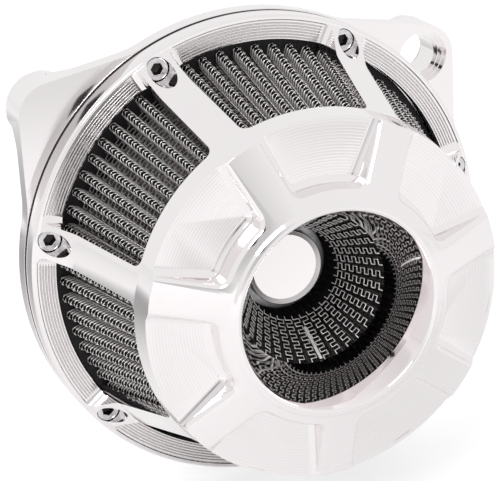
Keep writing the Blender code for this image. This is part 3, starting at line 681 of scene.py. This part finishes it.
def plate_outline():
    """The round plate with two ears: upright sides, round ends, and tops that slope up to the round edge."""
    side_angle = math.acos(EAR_SIDE / PLATE_RADIUS)
    top_normal = math.pi / 2 - EAR_SLOPE
    top_reach = EAR_CENTRE[0] * math.cos(top_normal) + EAR_CENTRE[1] * math.sin(top_normal) + EAR_RADIUS
    top_angle = top_normal - math.acos(top_reach / PLATE_RADIUS)
    blend = 5.0 * mm
    turn = blend / PLATE_RADIUS
    low = (EAR_SIDE, math.sin(side_angle) * PLATE_RADIUS)
    round_end = arc(EAR_CENTRE, EAR_RADIUS, 0.0, top_normal, 24)
    right = blend_corner(polar(PLATE_RADIUS, side_angle - turn), low, (EAR_SIDE, EAR_CENTRE[1]), blend)
    right += round_end
    right += blend_corner(round_end[-1], polar(PLATE_RADIUS, top_angle),
                          polar(PLATE_RADIUS, top_angle + turn), blend)
    left = [(-x, y) for x, y in reversed(right)]
    clear = turn * 1.2
    crown = arc((0.0, 0.0), PLATE_RADIUS, top_angle + clear, math.pi - top_angle - clear, 48)
    round_part = arc(
        (0.0, 0.0), PLATE_RADIUS, math.pi - side_angle + clear, 2 * math.pi + side_angle - clear, 150,
    )
    return right + crown + left + round_part


def ear_boss(side):
    """The thick round end of an ear, which spreads with a fillet where it meets the plate's rear face."""
    radius, fillet, below = EAR_RADIUS + 0.3 * mm, 7.0 * mm, -20.0 * mm
    boss = turned("ear_boss", [
        (0.0, below), (radius, below),
        *arc((radius + fillet, PLATE_REAR - fillet + 0.1 * mm), fillet, math.pi, math.pi / 2, 14),
        (radius + fillet, PLATE_FRONT), (0.0, PLATE_FRONT),
    ], 96)
    return moved(boss, side * EAR_CENTRE[0], EAR_CENTRE[1])


def bevel_edges(obj, width):
    """Rounds every sharp edge and keeps the result as obj's own mesh."""
    bevel = obj.modifiers.new("edges", "BEVEL")
    bevel.width = width
    bevel.segments = 3
    bevel.limit_method = "ANGLE"
    bevel.angle_limit = math.radians(35.0)
    bevel.use_clamp_overlap = True
    apply_modifiers(obj)


def hole_cutter(radius, circle_radius, angles, sides=32):
    """Rods through the plate, at these angles on a circle."""
    rod = turned("hole", [(0.0, -30 * mm), (radius, -30 * mm), (radius, 30 * mm), (0.0, 30 * mm)], sides)
    return repeated("holes", moved(rod, circle_radius, 0.0), angles)


def make_back_plate():
    rear = PLATE_FRONT - EAR_DEPTH
    outline = plate_outline()
    plate = loft("back_plate_body", [[(x, y, z) for x, y in outline] for z in (rear, PLATE_FRONT)])
    relief = turned("rear_relief", [
        (0.0, rear - 5 * mm), (125 * mm, rear - 5 * mm), (125 * mm, PLATE_REAR), (0.0, PLATE_REAR),
    ], 128)
    carve(relief, ear_boss(1), ear_boss(-1))
    carve(plate, relief)
    carve(plate, turned("throttle_boss", [
        (0.0, 1.1 * mm), (45 * mm, 1.1 * mm), (45 * mm, 6 * mm), (0.0, 6 * mm),
    ], 180), operation="UNION")
    steps = []
    for k, radius in enumerate((7.5, 8.3, 9.1, 9.9)):
        steps += [(radius * mm, PLATE_FRONT - (8 - 2 * k) * mm),
                  (radius * mm, PLATE_FRONT - (6 - 2 * k) * mm)]
    bore = turned("stepped_bore", [
        (0.0, -30 * mm), (7.5 * mm, -30 * mm), *steps[1:-1],
        (9.9 * mm, PLATE_FRONT + 5 * mm), (0.0, PLATE_FRONT + 5 * mm),
    ], 96)
    carve(plate, moved(bore, *EAR_CENTRE))
    carve(plate, hole_cutter(25.4 * mm, 0.0, [0.0], 128))
    carve(plate, hole_cutter(3.5 * mm, THROTTLE_SCREW_CIRCLE, THROTTLE_SCREWS))
    carve(plate, hole_cutter(2.8 * mm, COVER_SCREW_CIRCLE, SPOKES))
    bevel_edges(plate, 0.28 * mm)
    coat(plate, PLATING)
    seat(plate, "base", "plated_metal", "back_plate", smooth_angle=30.0)


# ------------------------------------------------------------------ rubber, gaskets and small turned pieces

SEAM_ANGLE = -math.radians(85.0)


def pleat_end_ring():
    """The moulded ring that holds the inner pleats' rear ends, scalloped where each pleat runs into it."""
    pleats = INNER_FOLDS["Pleats"]
    profile = rounded([
        (16.7 * mm, 38.6 * mm, 0.5 * mm), (25.7 * mm, 38.6 * mm, 0.5 * mm), (25.7 * mm, 48.2 * mm, 0.5 * mm),
        (19.2 * mm, 48.2 * mm, 1.5 * mm), (16.7 * mm, 45.6 * mm, 1.2 * mm),
    ], 5)
    work = turned_work(profile, pleats * 12)
    for vert in work.verts:
        radius = math.hypot(vert.co.x, vert.co.y)
        lobe = 0.5 + 0.5 * math.cos(pleats * math.atan2(vert.co.y, vert.co.x))
        inward = max(0.0, min(1.0, (21.5 * mm - radius) / (3.0 * mm)))
        ahead = max(0.0, min(1.0, (vert.co.z - 40.5 * mm) / (4.0 * mm)))
        move = lobe * 1.7 * mm * inward * ahead
        vert.co.x += vert.co.x / radius * move
        vert.co.y += vert.co.y / radius * move
    return add_object("pleat_end_ring", mesh_from(work, "pleat_end_ring"), POTTING)


def seam_strip():
    """The bright strip that joins the inner pleats' ends, along one crest near the bottom."""
    first, last = INNER_FOLDS["Crest_Rear"], INNER_FOLDS["Crest_Front"]
    rows = []
    for t in (0.3, 0.5, 0.7, 0.85, 0.985):
        radius = first + (last - first) * t - 1.15 * mm
        height = INNER_REAR + (PLEAT_FRONT - INNER_REAR) * t
        rows.append([(radius + dr * mm, across * mm, height) for across, dr in
                     ((-0.6, 0.3), (-0.42, -0.05), (0.42, -0.05), (0.6, 0.3))])
    strip = loft("pleat_seam_strip", rows, WIRE)
    strip.data.transform(Matrix.Rotation(SEAM_ANGLE, 4, "Z"))
    return strip


def cap_disc():
    """The cap over the filter's end: a dished face inside a raised rim, hollow behind for its screw."""
    rim = 12.3 * mm
    cap = turned("cap_disc", rounded([
        (0.0, 41.1 * mm, 0.0), (2.7 * mm, 41.1 * mm, 0.0), (2.7 * mm, 38.6 * mm, 0.1 * mm),
        (14.2 * mm, 38.6 * mm, 0.3 * mm), (14.2 * mm, 42.3 * mm, 0.1 * mm), (13.9 * mm, 42.5 * mm, 0.1 * mm),
        (rim, 41.5 * mm, 0.2 * mm), (0.0, 41.5 * mm, 0.0),
    ], 3), 128, CAP_PLATING_PAINTED_HIGHLIGHT, CAP_EDGE_PLATING_PAINTED_SHADE)
    # The rim's edge takes the darker copy, painted shade; the face takes the brighter copy, painted highlight
    paint_faces(cap, lambda centre, normal:
                CAP_EDGE_PLATING_PAINTED_SHADE if math.hypot(centre.x, centre.y) > rim + 0.1 * mm else CAP_PLATING_PAINTED_HIGHLIGHT)
    return cap


def breather_ring():
    wire, radius, height = 1.3 * mm, 9.7 * mm, -8.9 * mm
    section = [(radius + wire * math.cos(a), height + wire * math.sin(a))
               for a in [2 * math.pi * k / 20 for k in range(20)]]
    return moved(turned("breather_ring", section, 72, RUBBER), *EAR_CENTRE)


def make_rings():
    seat(flat_ring("rear_seal_ring", 65.7, 79.7, 10.6, 14.2, 0.5, 280, RUBBER),
         "filter", "black_rubber", "rear_seal")
    seat(flat_ring("front_seal_ring", 30.6, 64.6, 67.0, 72.0, 0.5, 280, RUBBER),
         "filter", "black_rubber", "front_seal")
    seat(flat_ring("cover_gasket_ring", 80.6, 88.85, 10.36, 11.44, 0.1, 280, GASKET),
         "base", "black_rubber", "cover_gasket")
    seat(pleat_end_ring(), "filter", "black_rubber", "inner_ring")
    seat(flat_ring("end_disc", 2.8, 25.7, 34.7, 38.3, 0.3, 128, ALUMINIUM),
         "filter", "plain_aluminium", "end_plate")
    seat(cap_disc(), "filter", "plated_metal", "centre_cap")
    seat(breather_ring(), "base", "black_rubber", "breather_oring")


# ------------------------------------------------------------------ geometry trees

class Growth(Tree):
    """A Geometry Nodes tree with named inputs, run once on an empty mesh."""

    def __init__(self, name, **inputs):
        self.group = bpy.data.node_groups.new(name, "GeometryNodeTree")
        super().__init__(self.group)
        self.group.interface.new_socket("Geometry", in_out="OUTPUT", socket_type="NodeSocketGeometry")
        self.given = []
        kinds = {int: "NodeSocketInt", float: "NodeSocketFloat"}
        for key, value in inputs.items():
            kind = kinds.get(type(value))
            if kind is None:
                kind = "NodeSocketObject" if isinstance(value, bpy.types.Object) else "NodeSocketMaterial"
            socket = self.group.interface.new_socket(key.replace("_", " "), in_out="INPUT", socket_type=kind)
            self.given.append((socket.identifier, value))
        self.entry = self.nodes.new("NodeGroupInput")
        self.exit = self.nodes.new("NodeGroupOutput")

    def input(self, key):
        return self.out(self.entry, key.replace("_", " "))

    def set_place(self, geometry, place):
        return self.get("GeometryNodeSetPosition", Geometry=geometry, Position=place)

    def points(self, count):
        """Points at the origin, to be placed or to carry copies, and the number of each."""
        line = self.get("GeometryNodeMeshLine", {"mode": "OFFSET"}, Count=count, Offset=(0.0, 0.0, 0.0))
        return line, self.get("GeometryNodeInputIndex")

    def grid(self, count_x, count_y):
        """A grid one unit wide and high, about the origin, and the x and y of its points."""
        grid = self.get("GeometryNodeMeshGrid", Size_X=1.0, Size_Y=1.0,
                        Vertices_X=count_x, Vertices_Y=count_y)
        x, y, _ = self.parts_of(self.get("GeometryNodeInputPosition"))
        return grid, x, y

    def tubes(self, curve, sides):
        """Wire of the tree's own gauge along a curve."""
        section = self.get("GeometryNodeCurvePrimitiveCircle", Resolution=sides, Radius=self.input("Wire"))
        return self.get("GeometryNodeCurveToMesh", Curve=curve, Profile_Curve=section, Fill_Caps=True)

    def grown(self, geometry):
        """Ends the tree and returns its result, in the given finish, as an object with a plain mesh."""
        realized = self.get("GeometryNodeRealizeInstances", Geometry=geometry)
        painted = self.get("GeometryNodeSetMaterial", Geometry=realized, Material=self.input("Finish"))
        self.links.new(painted.socket, self.exit.inputs[0])
        name = self.group.name
        obj = add_object(name, bpy.data.meshes.new(name))
        modifier = obj.modifiers.new(name, "NODES")
        modifier.node_group = self.group
        for identifier, value in self.given:
            modifier[identifier] = value
        return apply_modifiers(obj)

    def around(self, geometry, count, start=0.0):
        """Copies of a shape, evenly turned about the axis."""
        line, index = self.points(count)
        turn = self.vector(0.0, 0.0, start + index * (2 * math.pi) / count)
        return self.get("GeometryNodeInstanceOnPoints", Points=line, Instance=geometry, Rotation=turn)


def raised(folds, height):
    """The same folds with their crests further out from the axis."""
    return {**folds, "Crest_Rear": folds["Crest_Rear"] + height, "Crest_Front": folds["Crest_Front"] + height}


def crest_line(tree, along):
    """Radius and height on a crest, from its rear end at 0 to its front end at 1."""
    radius = tree.input("Crest_Rear") + (tree.input("Crest_Front") - tree.input("Crest_Rear")) * along
    height = tree.input("Rear") + (tree.input("Front") - tree.input("Rear")) * along
    return radius, height


def fold(tree, across, along):
    """Place of a point of the pleated sheet. across counts half pleats from a crest, along runs 0 to 1."""
    swing = across + tree.math("SINE", across * (2 * math.pi)) * (0.85 / (2 * math.pi))
    deep = tree.math("ABSOLUTE", across)
    drop = deep * deep * deep * (deep * (deep * 6.0 - 15.0) + 10.0)
    crest, height = crest_line(tree, along)
    return crest - drop * tree.input("Depth"), swing * math.pi / tree.input("Pleats"), height


def around_axis(tree, radius, angle, height):
    return tree.vector(radius * tree.math("COSINE", angle), radius * tree.math("SINE", angle), height)


def pleated_sheet(name, material, folds):
    """The folded media: a grid whose columns swing round the axis and drop from crest to valley."""
    tree = Growth(name, **folds, Columns=folds["Pleats"] * 20 + 1, Finish=material)
    grid, x, y = tree.grid(tree.input("Columns"), 9)
    turns = (x + 0.5) * tree.input("Pleats")
    pleat = tree.math("FLOOR", turns + 0.5)
    across = (turns - pleat) * 2.0
    radius, angle, height = fold(tree, across, y + 0.5)
    angle = angle + pleat * (2 * math.pi) / tree.input("Pleats")
    folded_width = tree.math("ABSOLUTE", tree.input("Depth")) * 1.15
    run = tree.math("ABSOLUTE", tree.input("Front") - tree.input("Rear"))
    slant = tree.math("SQRT", run * run + (tree.input("Crest_Rear") - tree.input("Crest_Front")) ** 2.0)
    mapped = tree.add("GeometryNodeStoreNamedAttribute", {"data_type": "FLOAT2", "domain": "CORNER"},
                      Geometry=grid, Name="weave")
    tree.feed(mapped.inputs["Value"], tree.vector(across * folded_width, (y + 0.5) * slant, 0.0))
    placed = tree.set_place(tree.out(mapped), around_axis(tree, radius, angle, height))
    return tree.grown(tree.get("GeometryNodeMergeByDistance", Geometry=placed, Distance=0.01 * mm))


def wire_cloth(name, material, folds, strands, rungs, wire, spread, crowd):
    """Wire cloth over every crest: two long rails, and rungs that bend over the crest between them."""
    tree = Growth(name, **folds, Strands=strands, Rungs=rungs, Wire=wire, Spread=spread, Crowd=crowd,
                  Finish=material)

    def wires(count_x, count_y, lengthwise):
        grid, x, y = tree.grid(count_x, count_y)
        ends = tree.add("GeometryNodeInputMeshEdgeVertices")
        first, second = (tree.parts_of(tree.out(ends, end))[0] for end in ("Position 1", "Position 2"))
        crosswise = tree.math("ABSOLUTE", first - second) > 0.001
        unwanted = crosswise if lengthwise else 1.0 - crosswise
        kept = tree.get("GeometryNodeDeleteGeometry", {"domain": "EDGE", "mode": "EDGE_FACE"},
                        Geometry=grid, Selection=unwanted)
        strand = x * (tree.input("Strands") - 1.0)
        side = tree.math("SIGN", strand)
        across = side * tree.math("ABSOLUTE", strand) ** tree.input("Crowd") * tree.input("Spread")
        radius, angle, height = fold(tree, across, y + 0.5)
        if not lengthwise:
            row = tree.math("ROUND", (y + 0.5) * (tree.input("Rungs") - 1.0))
            column = tree.math("FLOOR", strand + 0.75)
            over = ((row + column) % 2.0) * 2.0 - 1.0
            outward = tree.math("SIGN", tree.input("Depth"))
            radius = radius + over * outward * tree.input("Wire") * 0.9
        placed = tree.set_place(kept, around_axis(tree, radius, angle, height))
        return tree.get("GeometryNodeMeshToCurve", Mesh=placed)

    both = tree.add("GeometryNodeJoinGeometry")
    for lines in (
        wires(2, 2, True),
        wires(tree.input("Strands"), tree.input("Rungs"), False),
    ):
        tree.links.new(lines.socket, both.inputs[0])
    return tree.grown(tree.around(tree.tubes(tree.out(both), 4), tree.input("Pleats")))


def meander_cloth(name, material, folds, rows, wire, reach):
    """Wire cloth as it shows in narrow places: one wire that steps from side to side of each crest."""
    tree = Growth(name, **folds, Points=rows * 2, Rows=rows, Wire=wire, Reach=reach, Finish=material)
    line, index = tree.points(tree.input("Points"))
    row = tree.math("FLOOR", (index + 1.0) * 0.5)
    side = (tree.math("FLOOR", index * 0.5) % 2.0) * 2.0 - 1.0
    crest, height = crest_line(tree, row / tree.input("Rows"))
    angle = side * tree.input("Reach") / crest
    placed = tree.set_place(line, around_axis(tree, crest, angle, height))
    curve = tree.get("GeometryNodeMeshToCurve", Mesh=placed)
    return tree.grown(tree.around(tree.tubes(curve, 5), tree.input("Pleats")))


def make_pleats():
    sheet = pleated_sheet("outer_pleated_sheet", OUTER_MEDIA, OUTER_FOLDS)
    seat(sheet, "filter", "oiled_media", "outer_pleats", smooth_angle=60.0)
    folds = raised(OUTER_FOLDS, 0.2 * mm)
    cloth = wire_cloth("outer_wire_cloth", WIRE, folds, strands=5, rungs=28, wire=0.27 * mm,
                       spread=0.25, crowd=0.82)
    seat(cloth, "filter", "oiled_media", smooth_angle=180.0)
    # The cloth shows again part of the way down each valley, half a pleat from the crests, in the darker wire
    # copy, which is painted shade
    cloth = meander_cloth("outer_valley_wire", SHADED_VALLEY_WIRE, raised(OUTER_FOLDS, -4.6 * mm),
                          rows=25, wire=0.2 * mm, reach=1.0 * mm)
    cloth.data.transform(Matrix.Rotation(math.pi / OUTER_FOLDS["Pleats"], 4, "Z"))
    seat(cloth, "filter", "oiled_media", smooth_angle=180.0)
    sheet = pleated_sheet("inner_pleated_sheet", INNER_MEDIA, INNER_FOLDS)
    seat(sheet, "filter", "oiled_media", "inner_pleats", smooth_angle=60.0)
    cloth = meander_cloth("inner_crest_wire", WIRE, raised(INNER_FOLDS, -0.5 * mm),
                          rows=13, wire=0.21 * mm, reach=1.1 * mm)
    seat(cloth, "filter", "oiled_media", smooth_angle=180.0)
    folds = raised(INNER_FOLDS, -0.15 * mm)
    cloth = wire_cloth("inner_wire_cloth", DIM_WIRE, folds, strands=4, rungs=14, wire=0.14 * mm,
                       spread=0.36, crowd=0.6)
    seat(cloth, "filter", "oiled_media", smooth_angle=180.0)
    seat(seam_strip(), "filter", "plain_aluminium")


# ------------------------------------------------------------------ screws

def cap_screw(shank, head, end, seat_height, top, flats):
    """A socket-head cap screw about its own axis: rounded head, hexagon socket, plain shank."""
    depth = (top - seat_height) * 0.75
    socket = flats / 2 / math.cos(math.pi / 6)
    body = turned("screw_blank", rounded([
        (0.0, end, 0.0), (shank - 0.3 * mm, end, 0.0), (shank, end + 0.4 * mm, 0.0),
        (shank, seat_height, 0.0), (head, seat_height, 0.1 * mm), (head, top, 0.55 * mm), (0.0, top, 0.0),
    ], 4), 48, SCREW_STEEL)
    cutter = turned("socket", [
        (0.0, top - depth - 0.6 * mm), (socket, top - depth), (socket, top - 0.25 * mm),
        (socket + 0.3 * mm, top + 0.1 * mm), (socket + 0.3 * mm, top + 2 * mm), (0.0, top + 2 * mm),
    ], 6)
    return carve(body, cutter)


def ring_of_screws(name, blank, radius, count, start):
    """The same screw, set on a circle by a geometry tree."""
    tree = Growth(name, Screws=count, Circle=radius, Start=start, Blank=blank, Finish=SCREW_STEEL)
    blank_mesh = tree.out(tree.add("GeometryNodeObjectInfo", Object=tree.input("Blank")), "Geometry")
    placed = tree.get("GeometryNodeTransform", Geometry=blank_mesh,
                      Translation=tree.vector(tree.input("Circle"), 0.0, 0.0))
    obj = tree.grown(tree.around(placed, tree.input("Screws"), tree.input("Start")))
    bpy.data.objects.remove(blank, do_unlink=True)
    return obj


def darken_sockets(ring, circle_radius, angles, socket, top):
    """Gives the dark socket finish, painted shade in the deep hexagon, to every face inside a screw's
    hexagon.
    """
    ring.data.materials.append(SOCKET_PAINTED_SHADE)
    centres = [Vector((circle_radius * math.cos(a), circle_radius * math.sin(a))) for a in angles]
    for face in ring.data.polygons:
        here = Vector(face.center[:2])
        inside = min((here - centre).length for centre in centres) < socket
        if inside and top - 4.5 * mm < face.center.z < top - 0.35 * mm:
            face.material_index = 1


def make_screws():
    top = FLANGE_FRONT + 0.3 * mm
    blank = cap_screw(shank=2.4 * mm, head=4.22 * mm, end=3.7 * mm, seat_height=top - 4.8 * mm, top=top,
                      flats=4.0 * mm)
    ring = ring_of_screws("cover_screw_ring", blank, COVER_SCREW_CIRCLE, SECTORS, SPOKES[0])
    darken_sockets(ring, COVER_SCREW_CIRCLE, SPOKES, socket=2.33 * mm, top=top)
    seat(ring, "screws", "screw_steel", *[f"cover_screw_{k}" for k in range(1, 8)])
    blank = cap_screw(shank=3.1 * mm, head=5.0 * mm, end=-10.0 * mm, seat_height=10.6 * mm, top=16.6 * mm,
                      flats=5.0 * mm)
    ring = ring_of_screws("throttle_screw_ring", blank, THROTTLE_SCREW_CIRCLE, len(THROTTLE_SCREWS),
                          THROTTLE_SCREWS[0])
    seat(ring, "base", "screw_steel", *[f"throttle_screw_{k}" for k in range(1, 4)])


# ------------------------------------------------------------------ studio

CAMERA_PLACE = (-0.249793, -0.676382, 0.260469)
CAMERA_TURN = (69.88319, 3.17439, -21.62471)
FLOOR_REACH, FLOOR_HEIGHT = 3.0, -0.0900
MIDDLE = (0, -0.04, 0)
WHITE = (1.0, 1.0, 1.0, 1.0)


def make_camera():
    camera = bpy.data.objects.new("camera", bpy.data.cameras.new("camera"))
    bpy.context.scene.collection.objects.link(camera)
    camera.data.sensor_width = 36.0
    camera.data.lens = 144.0
    camera.data.clip_start = 0.05
    camera.data.clip_end = 20.0
    camera.location = CAMERA_PLACE
    camera.rotation_euler = tuple(math.radians(a) for a in CAMERA_TURN)
    bpy.context.scene.camera = camera


def whiten_for_camera(finish, share, strength):
    """Adds white light to a painted floor for the camera and for reflections; its shadows stay, fainter."""
    path = finish.add("ShaderNodeLightPath")
    seen, mirrored = finish.out(path, "Is Camera Ray"), finish.out(path, "Is Glossy Ray")
    glow = finish.add("ShaderNodeEmission", Color=WHITE, Strength=strength)
    mix = finish.add("ShaderNodeMixShader")
    finish.feed(mix.inputs[0], finish.math("MAXIMUM", seen * share, mirrored * (share * 0.38)))
    finish.links.new(finish.shader.outputs[0], mix.inputs[1])
    finish.links.new(glow.outputs[0], mix.inputs[2])
    finish.links.new(mix.outputs[0], finish.nodes["Material Output"].inputs["Surface"])


def rectangle(name, width, height, rise=0.0):
    work = bmesh.new()
    x, y = width / 2, height / 2
    work.faces.new([work.verts.new((*corner, rise)) for corner in ((-x, -y), (x, -y), (x, y), (-x, y))])
    mesh = bpy.data.meshes.new(name)
    work.to_mesh(mesh)
    work.free()
    return mesh


def towards(place, aim):
    """The turn that points a panel's or a lamp's back away from aim."""
    return (Vector(place) - Vector(aim)).to_track_quat("Z", "Y")


def card(name, centre, aim, width, height, brightness, soft=False):
    """A panel that only reflections see: a bright reflector or a dark flag, with soft edges if asked."""
    panel = add_object(name, rectangle(name, width, height))
    panel.matrix_world = Matrix.Translation(centre) @ towards(centre, aim).to_matrix().to_4x4()
    material = bpy.data.materials.new(name)
    material.use_nodes = True
    material.node_tree.nodes.clear()
    tree = Tree(material.node_tree)
    glow = tree.add("ShaderNodeEmission", Color=(brightness, brightness, brightness, 1.0))
    out = tree.add("ShaderNodeOutputMaterial")
    surface = glow.outputs[0]
    if soft:
        x, y, _ = tree.parts_of(tree.out(tree.add("ShaderNodeTexCoord"), "Object"))
        x, y = x * (2.0 / width), y * (2.0 / height)
        mix = tree.add("ShaderNodeMixShader")
        tree.feed(mix.inputs[0], tree.smooth(tree.math("SQRT", x * x + y * y), 1.0, 0.15))
        tree.links.new(tree.add("ShaderNodeBsdfTransparent").outputs[0], mix.inputs[1])
        tree.links.new(glow.outputs[0], mix.inputs[2])
        surface = mix.outputs[0]
    tree.links.new(surface, out.inputs[0])
    panel.data.materials.append(material)
    panel.visible_camera = False
    panel.visible_diffuse = False
    panel.visible_shadow = False
    panel.visible_transmission = False


def lamp(name, place, aim, size, power):
    light = bpy.data.lights.new(name, "AREA")
    light.shape = "DISK"
    light.size = size
    light.energy = power
    obj = bpy.data.objects.new(name, light)
    bpy.context.scene.collection.objects.link(obj)
    obj.location = place
    obj.rotation_euler = towards(place, aim).to_euler()


def make_studio():
    scene = bpy.context.scene
    scene.view_settings.view_transform = "Standard"
    world = bpy.data.worlds.new("white_room")
    scene.world = world
    world.use_nodes = True
    tree = Tree(world.node_tree)
    back = tree.nodes["Background"]
    path = tree.add("ShaderNodeLightPath")
    mirrored = tree.out(path, "Is Glossy Ray") * 0.65
    seen = tree.math("MAXIMUM", tree.out(path, "Is Camera Ray"), mirrored)
    seen = tree.math("MAXIMUM", seen, tree.out(path, "Is Transmission Ray"))
    tree.feed(back.inputs["Strength"], 0.8 + 0.2 * seen)
    tree.feed(back.inputs["Color"], WHITE)
    paint = Finish("floor_paint", (0.93, 0.93, 0.93), 0.0, 0.9, Specular_IOR_Level=0.0)
    whiten_for_camera(paint, share=0.55, strength=1.3)
    floor = rectangle("floor", 2 * FLOOR_REACH, 2 * FLOOR_REACH, FLOOR_HEIGHT)
    add_object("floor", floor, paint.material)
    lamp("key", (-0.9, -1.1, 1.3), MIDDLE, size=0.9, power=12.0)
    # Dark and grey panels that only reflections see: behind the camera, and flat over the floor
    card("camera_shade", (-0.36, -0.98, 0.38), MIDDLE, 0.14, 0.14, 0.03)
    card("room_shade", (-0.34, -1.10, 0.30), MIDDLE, 1.1, 1.0, 0.62, soft=True)
    card("grey_left", (-0.26, 0.26, -0.085), (-0.26, 0.26, -0.5), 0.76, 0.70, 0.42, soft=True)
    card("grey_ahead", (0.07, -0.66, -0.086), (0.07, -0.66, -0.5), 0.60, 0.62, 0.80, soft=True)
    card("grey_below", (0.10, -0.16, -0.0865), (0.10, -0.16, -0.5), 0.34, 0.30, 0.86, soft=True)


make_cover()
make_back_plate()
make_rings()
make_pleats()
make_screws()

for node, material in (("throttle_gasket", PAPER), ("cap_screw", SCREW_STEEL)):
    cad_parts[node].material_slots[0].material = material

make_camera()
make_studio()
